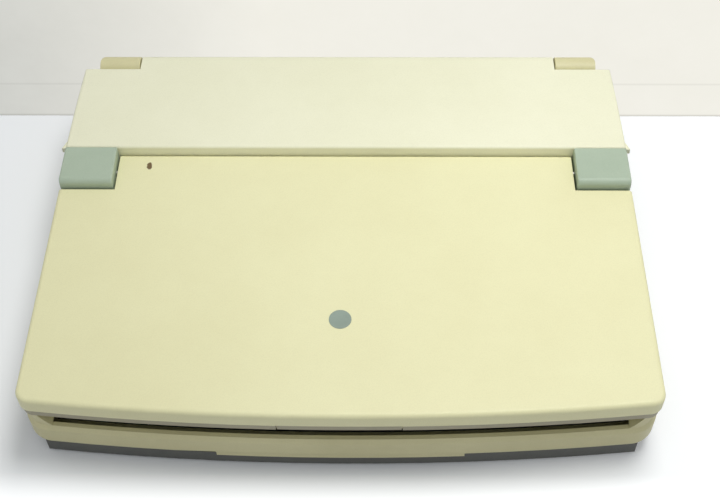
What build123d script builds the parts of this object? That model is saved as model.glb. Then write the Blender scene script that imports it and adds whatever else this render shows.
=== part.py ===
from build123d import *
import os
from math import cos, pi, radians, sin, sqrt

os.makedirs("parts", exist_ok=True)

# A portable electronic word processor with its screen lid closed.
# Millimetres. X runs to the right, Y to the back, Z up; the origin is on the
# table, under the middle of the machine. The sides are named as seen from the front.

# ---------------------------------------------------------------- overall sizes
LID_WIDTH = 340.0
LID_FRONT_Y = -132.4
SEAM_Y = 50.2                     # where the lid ends and the printer cover begins
REAR_Y = 133.0
BOW_RADIUS = 1565.0               # the front edges are bowed in plan
LID_CORNER = 8.0
BASE_CORNER = 15.0
BASE_OVERHANG = 0.6               # the base is this much wider than the lid, each side
BASE_HALF = LID_WIDTH / 2 + BASE_OVERHANG

# ---------------------------------------------------------------- walls and gaps
WALL = 2.5
THIN_WALL = 2.0
LID_WALL = 2.2
GAP = 0.5                         # between neighbouring outer pieces
FACE_GAP = 0.2                    # between two flat faces that meet on the outside
RUNNING = 0.05                    # radial clearance of a pin or shaft in its hole
TINY = 0.3                        # gap between curved faces that must not touch
SLACK = 0.6                       # a stem or neck in its guide hole, side to side
CUT = 1.0                         # how far a cutter runs past the face it cuts

# ---------------------------------------------------------------- heights
FOOT_HEIGHT = 1.5
CASE_BOTTOM_Z = 11.5              # underside of the tan lower case
CHIN_DROP = 1.2                   # its middle reaches lower by this much
SPLIT_Z = CASE_BOTTOM_Z + 16.5    # lower case below, keyboard deck above
DECK_TOP_Z = SPLIT_Z + 8.5
LID_RIM_Z = DECK_TOP_Z + 1.0      # underside of the lid's rim
BEZEL_Z = LID_RIM_Z + 3.5         # underside of the screen bezel's plate
LID_SHELL_Z = BEZEL_Z + 2.0       # where the lid's shell meets its bezel
LID_TOP_Z = LID_SHELL_Z + 10.0
SIDE_WALL_Z = DECK_TOP_Z + 1.5    # top of the case's side walls behind the seam
COVER_BOTTOM_Z = SIDE_WALL_Z + 0.8
COVER_FRONT_Z = LID_TOP_Z + 6.0
COVER_CROWN_Z = COVER_FRONT_Z + 1.6
COVER_REAR_Z = COVER_FRONT_Z + 1.0
REAR_WALL_Z = COVER_REAR_Z - 17.0

# ---------------------------------------------------------------- lower case
CASE_CHAMFER_IN = 1.6
CASE_CHAMFER_DOWN = 2.8
CASE_BOTTOM_ROUND = 3.0
CASE_FLANGE = 14.0
CHIN_HALF = 67.0
CHIN_THICK = 2.0
TAIL_HALF = BASE_HALF - 12.6      # the rear of the case is narrower
TAIL_Y = REAR_Y - 14.5
TAIL_CORNER = 9.5
STEP_CORNER = 2.5
TOWER_WIDTH = 25.5
TOWER_ROUND = 0.8
PAN_INSET = 1.2
PAN_CORNER = 6.0
PAN_CHAMFER = 0.6
PAN_NOSE_Y = LID_FRONT_Y + 35.4   # the pan's front corners are cut off slantwise to here
VENT_COUNT = 9
VENT_WIDTH = 2.2
VENT_PITCH = 6.0
VENT_HEIGHT = 12.0
SCREW_RADIUS = 1.5
SCREW_HEAD_RADIUS = 2.8
SCREW_HEAD_HEIGHT = 1.8
SCREW_SLOT_LENGTH = 4.0
SCREW_SLOT_WIDTH = 0.8
SCREW_SLOT_DEPTH = 0.8
BOSS_RADIUS = 3.6
POST_HALF = 2.6
FOOT_RADIUS = 8.0
FOOT_INSET_X = 24.0
FOOT_INSET_Y = 26.0

# ---------------------------------------------------------------- finger scoop and latch
SCOOP_DEPTH = 8.0
SCOOP_HALF_TOP = BASE_HALF - 8.6
SCOOP_SLANT = 8.0                 # its ends run in by this much from top to bottom
SCOOP_SINK = 0.01                 # below the deck's underside, so that the cut runs through
LATCH_HALF = 32.6
LATCH_GAP = 0.6
LATCH_TRAVEL = 2.5
LATCH_THICK = 3.0
LATCH_RIM_GAP = 0.4
LATCH_HOOK_WIDTH = 12.0
LATCH_HOOK_THICK = 2.4
LATCH_HOOK_REACH = 7.4            # from the arm's top down to the hook's tip
LATCH_ARM_THICK = 1.6
LATCH_SCOOP_GAP = 1.4             # from the scoop's wall to the hook

# ---------------------------------------------------------------- lid hinge
CAP_TOP_Z = COVER_FRONT_Z
CAP_DEPTH = 27.0
CAP_REAR_Y = SEAM_Y - FACE_GAP
CAP_FRONT_Y = CAP_REAR_Y - CAP_DEPTH
CAP_WIDTH = 31.5
CAP_OUTER_X = LID_WIDTH / 2 - 1.0
CAP_INNER_X = CAP_OUTER_X - CAP_WIDTH
CAP_GAP = 1.2                     # between a hinge block and the lid's strip
CAP_ROUND = 3.4
CAP_SIDE_ROUND = 1.0
HINGE_Y = CAP_REAR_Y - 13.3
HINGE_Z = LID_TOP_Z - 2.0
HINGE_PIN_RADIUS = 1.2
HINGE_PIN_LENGTH = 16.0

# ---------------------------------------------------------------- lid
LID_ROUND = 2.5
RIM_SETBACK = 1.0
RIM_WIDTH = 4.0
LID_REAR_Y = SEAM_Y - 0.7         # rear edge of the strip between the hinge blocks
LID_SHOULDER_Y = CAP_FRONT_Y - 1.3
LID_STRIP_HALF = CAP_INNER_X - CAP_GAP
LID_STRIP_ROUND = 2.0
TROUGH_HALF = LID_STRIP_HALF + GAP
TROUGH_FRONT_Y = LID_SHOULDER_Y - 2.0
TROUGH_FLOOR_Z = DECK_TOP_Z - 3.5
WINDOW_WIDTH = 236.0
WINDOW_DEPTH = 82.0
WINDOW_FRONT_Y = LID_FRONT_Y + 45.4
WINDOW_Y = WINDOW_FRONT_Y + WINDOW_DEPTH / 2
WINDOW_LIP = 2.0
WINDOW_REBATE = 0.8               # how thick the bezel is in front of the pane's edge
MODULE_MARGIN = 12.0
MODULE_HEIGHT = 5.0
MODULE_FACE_RECESS = 0.5
MODULE_FACE_MARGIN = 4.0
DRIVER_HEIGHT = 1.4
DRIVER_MARGIN = 6.0
DRIVER_CHIPS = 8
DRIVER_CHIP = (14.0, 6.0, 0.8)    # width, depth, height
BUMPER_RADIUS = 4.0
BUMPER_INSET_X = 20.0
BUMPER_FRONT_Y = LID_FRONT_Y + 20.4
BUMPER_REAR_Y = LID_SHOULDER_Y - 17.7
BUMPER_GAP = 0.1
BUMPER_PLUG = 1.0                 # a pad's neck, this deep and this much thinner
LID_SCREW_INSET = (14.0, 34.0, 12.0)             # from the side, the front, the shoulder
LID_SCREW_HEAD = 1.2

# ---------------------------------------------------------------- printer cover
COVER_FRONT_HALF = CAP_OUTER_X
COVER_TAPER = 2.3                 # each side comes in by this much towards the back
COVER_REAR_HALF = COVER_FRONT_HALF - COVER_TAPER
COVER_FRONT_ROUND = 1.5
WING_REAR_Y = TAIL_Y - 2.0
TOWER_GAP = 1.0                   # between a tower and the cover's barrel
TOWER_INNER_X = TAIL_HALF - TOWER_WIDTH
COVER_MID_HALF = TOWER_INNER_X - TOWER_GAP
BARREL_RADIUS = 8.0
BARREL_Y = REAR_Y - BARREL_RADIUS
BARREL_Z = COVER_REAR_Z - BARREL_RADIUS
KNUCKLE_LENGTH = 8.0
COVER_PIN_RADIUS = 1.5
COVER_PIN_LENGTH = 14.0
FLARE_OUT = 2.5
FLARE_DEPTH = 6.0
FLARE_ROOT = 3.0
FLARE_HEIGHT = 3.5
COVER_RIB_COUNT = 5
COVER_RIB = (1.6, 8.0, 6.0)       # thickness, depth, height

# ---------------------------------------------------------------- keyboard
KEY_PITCH = 18.6
KEY_GAP = 1.2
KEY_COLUMNS = 15
FRONT_ROW_Y = LID_FRONT_Y + 35.9
KEY_TOP_Z = DECK_TOP_Z + 2.5
KEY_CAP_HEIGHT = 8.0
KEY_TAPER = 11.0
KEY_CORNER = 1.3
KEY_SKIN = 1.4
STEM_SIDE = 5.0
STEM_DEPTH = 6.2                  # how far a stem reaches below its cap's skirt
LETTERS_START = 1.5               # widths and places along a row, in pitches
LETTER_COLUMNS = 12
LOW_LETTERS_START = 2.0
LOW_LETTERS = 10
MODE_WIDTH = 1.25
SPACE_START = 4.0
SPACE_END = 8.0
FUNCTION_SPACE = 0.5
FUNCTION_KEYS = 12
FUNCTION_GROUP = 4
FUNCTION_DEPTH = 11.0
FUNCTION_GAP = 2.2
WELL_MARGIN = 1.4
KEY_PLATE_Z = KEY_TOP_Z - 14.8
KEY_PLATE_THICK = 1.6
BOARD_THICK = 1.6
KEY_BOARD_Z = KEY_PLATE_Z - 6.8
KEY_BOARD_MARGIN = (4.0, 1.0)     # past the key well, at the sides and at the ends
PLATE_FOOT = (4.0, 6.0)
KEY_POST_SHIFT = 1.0
KEY_POST_INSET = 4.0
DOME_RADIUS = 3.6
DOME_HEIGHT = 1.6
SHEET_THICK = 0.6

# ---------------------------------------------------------------- controls on the deck
CONTROL_Y = TROUGH_FRONT_Y - 7.7
CONTROL_INSET_X = 52.6
DIAL_RADIUS = 5.5
DIAL_AXLE_RADIUS = 1.0
DIAL_THICK = 4.0
DIAL_RISE = 2.2
DIAL_KNURLS = 24
DIAL_KNURL_RADIUS = 0.4
SWITCH_LENGTH = 8.0
SWITCH_WIDTH = 5.0
SWITCH_TRAVEL = 5.0
SWITCH_RISE = 1.6
SWITCH_SINK = 0.8
SWITCH_NECK = 2.0
SWITCH_GROOVE = 0.8
SWITCH_GROOVES = 3

# ---------------------------------------------------------------- floppy drive
DISK_WIDTH = 90.0
SLOT_HEIGHT = 4.8
SLOT_DEPTH = 120.0
SLOT_ROOF = 1.6
DISK_SIDE_GAP = 1.0
DRIVE_WIDTH = 101.6
DRIVE_LENGTH = 136.0
DRIVE_HEIGHT = 19.0
DRIVE_FRONT_X = BASE_HALF - CASE_CHAMFER_IN - SLACK
DRIVE_BACK_X = DRIVE_FRONT_X - DRIVE_LENGTH
DRIVE_Y1 = TAIL_Y - 7.3
DRIVE_Y = DRIVE_Y1 - DRIVE_WIDTH
DRIVE_Z = SPLIT_Z - DRIVE_HEIGHT - 1.6
DRIVE_BEZEL = 5.0
DRIVE_BEZEL_HEIGHT = 11.0
DRIVE_RAIL = (8.0, 4.0, 30.0)     # its middle from the drive's edge, half width, end from the front
BUTTON_WIDTH = 11.0
BUTTON_HEIGHT = 2.6
BUTTON_RISE = 1.0
BUTTON_DEPTH = 6.0
BUTTON_POCKET = 10.0
BUTTON_SLOT_GAP = 1.0
BUTTON_INSET = 4.0
DRIVE_LAP = 2.0                   # how far the drive's bezel reaches back over its body

# ---------------------------------------------------------------- printer
CHASSIS_HALF = BASE_HALF - 30.6
CHASSIS_FRONT_Y = SEAM_Y + 4.3
CHASSIS_REAR_Y = REAR_Y - 20.0
CHASSIS_Z = SPLIT_Z - 0.6
CHASSIS_TOP_Z = COVER_FRONT_Z - 4.0
CHASSIS_WINDOWS = 6
CHASSIS_WINDOW_PITCH = 40.0
CHASSIS_WINDOW = (24.0, 8.0, 14.0)               # width, depth, from the front edge
SHEET_METAL = 1.5
KNOB_RADIUS = 9.0
KNOB_LENGTH = 7.0
KNOB_FLUTES = 18
KNOB_FLUTE_RADIUS = 0.8
KNOB_GAP = 1.0
BAY_HALF = CHASSIS_HALF + 14.0
PLATEN_END_ROOM = 12.0
PLATEN_HALF = CHASSIS_HALF - PLATEN_END_ROOM
PLATEN_RADIUS = 8.0
PLATEN_Y = CHASSIS_REAR_Y - 15.0
PLATEN_Z = CHASSIS_Z + 16.6
PLATEN_SHAFT_RADIUS = 3.0
SHAFT_END = 3.0
GEAR_MODULE = 0.8
GEAR_TIP = 0.9                    # tooth heights above and below the pitch line, in modules
GEAR_ROOT = 1.15
GEAR_BACKLASH = 0.06
TOOTH_SHARES = (0.36, 0.25, 0.11)                # half a tooth's share of a step: root, pitch, tip
PLATEN_TEETH = 30
PINION_TEETH = 10
GEAR_WIDTH = 4.0
GEAR_SIDE_GAP = 0.3
GEAR_WINDOW = 6.0
PINION_ANGLE = 60.0               # below the level, towards the back
PINION_SHAFT_END = 4.0
PIVOT_RADIUS = 1.5                # small spindles and studs of the printer
PINCH_RADIUS = 3.0
PINCH_LENGTH = 26.0
PINCH_COUNT = 4
PINCH_PITCH = 64.0
EAR_HALF = 4.0
ROD_RADIUS = 3.0
MAIN_ROD_Y = PLATEN_Y - 18.0
GUIDE_ROD_Y = MAIN_ROD_Y - 21.4
ROD_Z = CHASSIS_Z + 7.6
CARRIAGE_LENGTH = 40.0
CARRIAGE_SKIRT = 1.5
MAIN_SLEEVE_WALL = 2.0
GUIDE_SLEEVE_WALL = 1.4
SLEEVE_ROOF = 2.6
BRIDGE_GAP = 0.4
CARRIAGE_REST_X = -(PLATEN_HALF - 22.0)
HEAD_WIDTH = 10.0
HEAD_HEIGHT = 9.0
HEAD_THICK = 3.0
HEAD_FOOT = 1.6
HEAD_FOOT_INSET = 0.8             # behind the main rod's middle
HEAD_GAP = 0.6
CASSETTE_LENGTH = 58.0
CASSETTE_DEPTH = 26.0
CASSETTE_HEIGHT = 12.0
CASSETTE_CORNER = 3.0
CASSETTE_HUB_RADIUS = 3.5
CASSETTE_FOOT_HALF = 16.0
CASSETTE_HEAD_GAP = 0.4
CASSETTE_FOOT_GAP = 0.1
PULLEY_X = PLATEN_HALF + 2.0
PULLEY_Y = (MAIN_ROD_Y + GUIDE_ROD_Y) / 2 - TINY
PULLEY_Z = CHASSIS_Z + 3.1
PULLEY_RADIUS = 4.4
PULLEY_TEETH = 16
PULLEY_GROOVE_RADIUS = 0.35
BELT_WIDTH = 3.6
BELT_THICK = 1.0
BELT_SIDE_GAP = 0.3
CARRIAGE_MOTOR_RADIUS = 17.0
CARRIAGE_MOTOR_HEIGHT = 17.0
MOTOR_SHAFT_HOLE = 4.0
FEED_MOTOR_RADIUS = 8.5
FEED_MOTOR_LENGTH = 10.0
FEED_SHAFT_HOLE = 5.0
LEVER_GAP = 2.0
LEVER_X = CHASSIS_HALF + SHEET_METAL + LEVER_GAP
LEVER_Y = PULLEY_Y
LEVER_Z = CHASSIS_Z + 5.6
LEVER_LENGTH = 19.0
LEVER_WIDTH = 5.0
LEVER_THICK = 3.0
LEVER_STUD_END = 0.4

# ---------------------------------------------------------------- electronics
BOARD_Z = FOOT_HEIGHT + 5.1
BOARD_X0 = -BASE_HALF + 36.6
BOARD_X1 = DRIVE_BACK_X - 6.4
BOARD_Y0 = LID_FRONT_Y + 20.4
BOARD_Y1 = SEAM_Y - 4.2
BOARD_POST_INSET = 5.0
CHIP_PITCH = 30.0
CHIP_FIRST = (22.0, 16.0)         # the first chip's middle from the board's left front corner
CHIP_LAST = (17.0, 50.0)          # room kept to the right of and behind the last chip's middle
CHIP_COLUMNS = int((BOARD_X1 - BOARD_X0 - CHIP_FIRST[0] - CHIP_LAST[0]) / CHIP_PITCH) + 1
CHIP_ROWS = int((BOARD_Y1 - BOARD_Y0 - CHIP_FIRST[1] - CHIP_LAST[1]) / CHIP_PITCH) + 1
CHIP_HALVES = (15.0, 10.0, 5.0)   # half lengths of large and small packages, half depth
CHIP_HEIGHT = 3.2
CELL_RADIUS = 4.5
CELL_LENGTH = 32.0
CELL_LIFT = 0.1
CELL_INSET = (8.0, 12.0)
CRADLE_HALF = 3.0
CRADLE_INSET = 2.0
CRADLE_HEIGHT = 4.0
SUPPLY_X0 = -PULLEY_X + CARRIAGE_MOTOR_RADIUS + 7.0
SUPPLY_X1 = DRIVE_BACK_X - 12.4
SUPPLY_Y0 = CHASSIS_FRONT_Y + 2.5
SUPPLY_Y1 = CHASSIS_REAR_Y - 3.0
SUPPLY_Z = FOOT_HEIGHT + 4.1
SUPPLY_HEIGHT = 17.0
SUPPLY_SLOTS = 12
SUPPLY_SLOT = (4.0, 9.0, 8.0)     # width, pitch, margin
SUPPLY_RAIL_HALF = 4.0
INLET_X = SUPPLY_X0 + 16.0
INLET_WIDTH = 26.0
INLET_HEIGHT = 15.0
INLET_DEPTH = 18.0
INLET_Z = CASE_BOTTOM_Z + 7.5
INLET_MOUTH_DEPTH = 13.0
INLET_RIM = 2.0
INLET_PIN_RADIUS = 1.2
INLET_PIN_LENGTH = 9.5
INLET_PIN_REACH = 4.0             # from the socket's floor to the middle of a pin
INLET_PIN_SPACING = 10.6
CABLE_THICK = 0.8
KEY_CABLE_X = (-40.0, -10.0)
PRINTER_CABLE_X = (-90.0, -62.0)
CABLE_LAP = 6.0                   # how far a cable's end lies on what it joins

# ---------------------------------------------------------------- worked-out values
DECK_INSET = CASE_CHAMFER_IN
INNER_INSET = CASE_CHAMFER_IN + WALL
REAR_INSET = INNER_INSET + TINY   # the deck's rear part, inside the case's walls
COVER_FRONT_Y = SEAM_Y + FACE_GAP
COVER_LIP_Y = BARREL_Y - BARREL_RADIUS + CUT
KEY_FIELD_X = -KEY_COLUMNS * KEY_PITCH / 2
FUNCTION_Y = FRONT_ROW_Y + 4.5 * KEY_PITCH + FUNCTION_GAP + FUNCTION_DEPTH / 2
KEY_BOTTOM_Z = KEY_TOP_Z - KEY_CAP_HEIGHT
WELL_HALF = -KEY_FIELD_X + WELL_MARGIN
WELL_Y0 = FRONT_ROW_Y - KEY_PITCH / 2 - WELL_MARGIN
WELL_Y1 = FUNCTION_Y + FUNCTION_DEPTH / 2 + WELL_MARGIN
GEAR_X = -CHASSIS_HALF + GEAR_SIDE_GAP
GEAR_DISTANCE = GEAR_MODULE * (PLATEN_TEETH + PINION_TEETH) / 2
PINION_Y = PLATEN_Y + GEAR_DISTANCE * cos(radians(PINION_ANGLE))
PINION_Z = PLATEN_Z - GEAR_DISTANCE * sin(radians(PINION_ANGLE))
PINCH_Z = PLATEN_Z - PLATEN_RADIUS - PINCH_RADIUS - TINY
PINCH_EAR_X = PLATEN_HALF + 2 * SHEET_METAL      # past the platen's ends
CARRIAGE_TOP_Z = ROD_Z + ROD_RADIUS + SLEEVE_ROOF
HEAD_Y = PLATEN_Y - PLATEN_RADIUS - HEAD_GAP
LATCH_HOOK_Y = LID_FRONT_Y + SCOOP_DEPTH + WALL + LATCH_SCOOP_GAP
LATCH_SLOT_Y = LID_FRONT_Y + LATCH_THICK + LATCH_TRAVEL
DRIVE_BEZEL_Z = DRIVE_Z + DRIVE_HEIGHT - DRIVE_BEZEL_HEIGHT
SIDE_SCREW_YS = (LID_FRONT_Y + 40.4, DRIVE_Y - 29.6, DRIVE_Y - 5.6)
DISK_SLOT_Z = DRIVE_Z + DRIVE_HEIGHT - SLOT_HEIGHT - SLOT_ROOF
BUTTON_Y = DRIVE_Y1 - BUTTON_INSET - BUTTON_WIDTH
BUTTON_TOP_Z = DISK_SLOT_Z - BUTTON_SLOT_GAP
DIAL_X = BASE_HALF - CONTROL_INSET_X
DIAL_Z = DECK_TOP_Z + DIAL_RISE - DIAL_RADIUS
DIAL_AXLE_HALF = DIAL_THICK / 2 + GAP + THIN_WALL
SWITCH_X = -(BASE_HALF - CONTROL_INSET_X + 4.0)
DECK_SKIN_Z = DECK_TOP_Z - THIN_WALL
BOARD_TOP_Z = BOARD_Z + BOARD_THICK
MODULE_Z = LID_SHELL_Z + FACE_GAP


# ================================================================ small helpers
def box(x0, x1, y0, y1, z0, z1):
    """A box between two corners."""
    return Pos((x0 + x1) / 2, (y0 + y1) / 2, (z0 + z1) / 2) * Box(x1 - x0, y1 - y0, z1 - z0)


def bar_x(x0, x1, y, z, radius):
    """A round bar along X."""
    return Pos((x0 + x1) / 2, y, z) * Rot(0, 90, 0) * Cylinder(radius, x1 - x0)


def bar_z(x, y, z0, z1, radius):
    """A round bar along Z."""
    return Pos(x, y, (z0 + z1) / 2) * Cylinder(radius, z1 - z0)


def slab(face, z0, z1):
    """A plan outline raised from one height to another."""
    return extrude(Pos(0, 0, z0) * face, amount=z1 - z0, dir=(0, 0, 1))


def bar_profile(face_yz, x0, x1):
    """An outline drawn in the YZ plane, drawn out along X."""
    placed = Plane(origin=(x0, 0, 0), x_dir=(0, 1, 0), z_dir=(1, 0, 0)) * face_yz
    return extrude(placed, amount=x1 - x0, dir=(1, 0, 0))


def both_sides(part):
    """A piece and its mirror image across the middle plane."""
    return Compound(children=part.solids() + mirror(part, Plane.YZ).solids())


def bow_y(x, front_y, bow):
    """The bowed front edge at a distance x from the middle."""
    return front_y + bow - sqrt(bow * bow - x * x)


def rounded_corners(face, points, radius):
    """Round the corners of a flat outline that lie at the given points."""
    picked = [v for v in face.vertices()
              if any((Vector(v.X, v.Y) - Vector(*p)).length < 1e-4 for p in points)]
    return fillet(picked, radius)


def case_plan(inset, corner):
    """The base's plan outline, drawn in by an inset: bowed front, narrower tail."""
    half = BASE_HALF - inset
    front = LID_FRONT_Y - BASE_OVERHANG + inset
    bow = BOW_RADIUS - inset
    side_y = bow_y(half, front, bow)
    tail = TAIL_HALF - inset
    step = TAIL_Y - inset
    rear = REAR_Y - inset
    arc = ThreePointArc((-half, side_y), (0, front), (half, side_y))
    rest = Polyline((half, side_y), (half, step), (tail, step), (tail, rear),
                    (-tail, rear), (-tail, step), (-half, step), (-half, side_y))
    face = make_face(arc.edges() + rest.edges())
    face = rounded_corners(face, [(half, side_y), (-half, side_y)], max(corner - inset, 1.0))
    face = rounded_corners(face, [(half, step), (-half, step)], max(STEP_CORNER - inset, SLACK))
    return rounded_corners(face, [(tail, rear), (-tail, rear)], max(TAIL_CORNER - inset, 1.0))


def lid_plan(inset, rear_y):
    """The lid's wide part in plan, drawn in by an inset."""
    half = LID_WIDTH / 2 - inset
    front = LID_FRONT_Y + inset
    bow = BOW_RADIUS - inset
    side_y = bow_y(half, front, bow)
    arc = ThreePointArc((-half, side_y), (0, front), (half, side_y))
    rest = Polyline((half, side_y), (half, rear_y), (-half, rear_y), (-half, side_y))
    face = make_face(arc.edges() + rest.edges())
    return rounded_corners(face, [(half, side_y), (-half, side_y)], max(LID_CORNER - inset, 1.0))


def gear_outline(teeth, module):
    """A spur gear's outline with straight-flanked teeth of the given module."""
    pitch = module * teeth / 2
    step = 2 * pi / teeth
    root_share, pitch_share, tip_share = TOOTH_SHARES
    widths = ((pitch - GEAR_ROOT * module, root_share),
              (pitch, pitch_share - GEAR_BACKLASH / (pitch * step)),
              (pitch + GEAR_TIP * module, tip_share))
    points = []
    for i in range(teeth):
        mid = i * step
        rise = [(r, mid - w * step) for r, w in widths]
        fall = [(r, mid + w * step) for r, w in reversed(widths)]
        points += [(r * cos(a), r * sin(a)) for r, a in rise + fall]
    return make_face(Polyline(*points, close=True).edges())


# ================================================================ outer case
def make_lower_case():
    """The tan base shell, with its raised rear walls and the two rear towers."""
    ridge_z = SPLIT_Z - CASE_CHAMFER_DOWN
    outer = slab(case_plan(0, BASE_CORNER), CASE_BOTTOM_Z, ridge_z)
    outer = fillet(outer.edges().group_by(Axis.Z)[0], CASE_BOTTOM_ROUND)
    outer += loft([Pos(0, 0, ridge_z) * case_plan(0, BASE_CORNER),
                   Pos(0, 0, SPLIT_Z) * case_plan(DECK_INSET, BASE_CORNER)], ruled=True)
    chin = front_strip(TINY, TINY + CHIN_THICK, CHIN_HALF, CASE_BOTTOM_Z - CHIN_DROP)
    upper = slab(case_plan(DECK_INSET, BASE_CORNER), SPLIT_Z, REAR_WALL_Z)
    sides = upper & box(-BASE_HALF, BASE_HALF, SEAM_Y + GAP, REAR_Y, SPLIT_Z, SIDE_WALL_Z)
    rear = upper & box(-TOWER_INNER_X, TOWER_INNER_X, TAIL_Y, REAR_Y, SPLIT_Z, REAR_WALL_Z)
    shell = outer + chin + sides + rear
    shell -= slab(case_plan(INNER_INSET, BASE_CORNER), CASE_BOTTOM_Z + WALL, REAR_WALL_Z)
    shell -= slab(case_plan(CASE_FLANGE, BASE_CORNER), CASE_BOTTOM_Z - CHIN_DROP, REAR_WALL_Z)
    shell += make_tower(1) + make_tower(-1)
    shell -= box(DRIVE_FRONT_X - DRIVE_BEZEL - GAP, BASE_HALF + CUT, DRIVE_Y - GAP, DRIVE_Y1 + GAP,
                 DRIVE_BEZEL_Z - GAP, DRIVE_Z + DRIVE_HEIGHT + GAP)
    shell -= box(TAIL_HALF - CASE_FLANGE - CUT, DRIVE_FRONT_X - DRIVE_BEZEL + GAP, DRIVE_Y - GAP,
                 DRIVE_Y1 + GAP, CASE_BOTTOM_Z - CUT, CASE_BOTTOM_Z + WALL + CUT)
    shell -= box(INLET_X - INLET_WIDTH / 2 - GAP, INLET_X + INLET_WIDTH / 2 + GAP,
                 REAR_Y - CASE_FLANGE - CUT, REAR_Y + CUT, INLET_Z - GAP, INLET_Z + INLET_HEIGHT + GAP)
    for i in range(VENT_COUNT):
        x = INLET_X + INLET_WIDTH + (i + 1) * VENT_PITCH
        shell -= box(x, x + VENT_WIDTH, REAR_Y - INNER_INSET - CUT, REAR_Y + CUT,
                     INLET_Z, INLET_Z + VENT_HEIGHT)
    for x, y in case_screw_places():
        shell -= bar_z(x, y, CASE_BOTTOM_Z - CUT, CASE_BOTTOM_Z + WALL + CUT, SCREW_RADIUS)
    return shell


def front_strip(outer, inner, half, z0):
    """A strip along the bowed front, between two insets, up to the case's floor."""
    top = CASE_BOTTOM_Z + WALL
    strip = slab(case_plan(outer, BASE_CORNER), z0, top) - slab(case_plan(inner, BASE_CORNER), z0, top)
    return strip & box(-half, half, LID_FRONT_Y - BASE_CORNER, LID_FRONT_Y + BASE_CORNER, z0, top)


def make_tower(side):
    """One rear corner tower: hollow, with the cover hinge's rounded top and pin hole."""
    inner = TOWER_INNER_X
    outer = TAIL_HALF
    front = BARREL_Y - BARREL_RADIUS
    round_top = make_face((
        Polyline((front, SPLIT_Z), (REAR_Y, SPLIT_Z), (REAR_Y, BARREL_Z)).edges()
        + ThreePointArc((REAR_Y, BARREL_Z), (BARREL_Y, BARREL_Z + BARREL_RADIUS),
                        (front, BARREL_Z)).edges()
        + Line((front, BARREL_Z), (front, SPLIT_Z)).edges()))
    body = bar_profile(round_top, inner, outer)
    body &= slab(case_plan(0, BASE_CORNER), SPLIT_Z, BARREL_Z + BARREL_RADIUS)
    body = fillet(body.edges().filter_by(GeomType.CIRCLE).group_by(Axis.X)[0], TOWER_ROUND)
    hollow = box(inner + THIN_WALL, outer - WALL, front + THIN_WALL, REAR_Y - WALL,
                 SPLIT_Z - CUT, BARREL_Z - COVER_PIN_RADIUS - 2 * THIN_WALL)
    bore = bar_x(inner - CUT, inner + COVER_PIN_LENGTH / 2 + CUT, BARREL_Y, BARREL_Z,
                 COVER_PIN_RADIUS)
    body = body - hollow - bore
    return body if side > 0 else mirror(body, Plane.YZ)


def case_screw_places():
    """The screws that hold the pan to the lower case's flange."""
    x = BASE_HALF - CASE_FLANGE + BOSS_RADIUS
    rear = (TAIL_HALF - CASE_FLANGE + BOSS_RADIUS, REAR_Y - CASE_FLANGE + BOSS_RADIUS)
    return [(sx * px, py) for sx in (-1, 1) for px, py in [(x, y) for y in SIDE_SCREW_YS] + [rear]]


def pan_foot_places():
    """The middles of the four rubber feet."""
    x = BASE_HALF - FOOT_INSET_X
    ys = (LID_FRONT_Y + FOOT_INSET_Y, REAR_Y - FOOT_INSET_Y)
    return [(sx * x, y) for sx in (-1, 1) for y in ys]


def pan_plan(inset):
    """The pan's plan outline: the base's, with its front corners cut off slantwise."""
    face = case_plan(inset, PAN_CORNER + inset)
    nose = TAIL_HALF - inset + PAN_INSET
    side = BASE_HALF - inset
    front = LID_FRONT_Y - CUT
    rear = REAR_Y + CUT
    return face & make_face(Polyline((-nose, front), (nose, front), (side, PAN_NOSE_Y), (side, rear),
                                     (-side, rear), (-side, PAN_NOSE_Y), close=True).edges())


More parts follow.
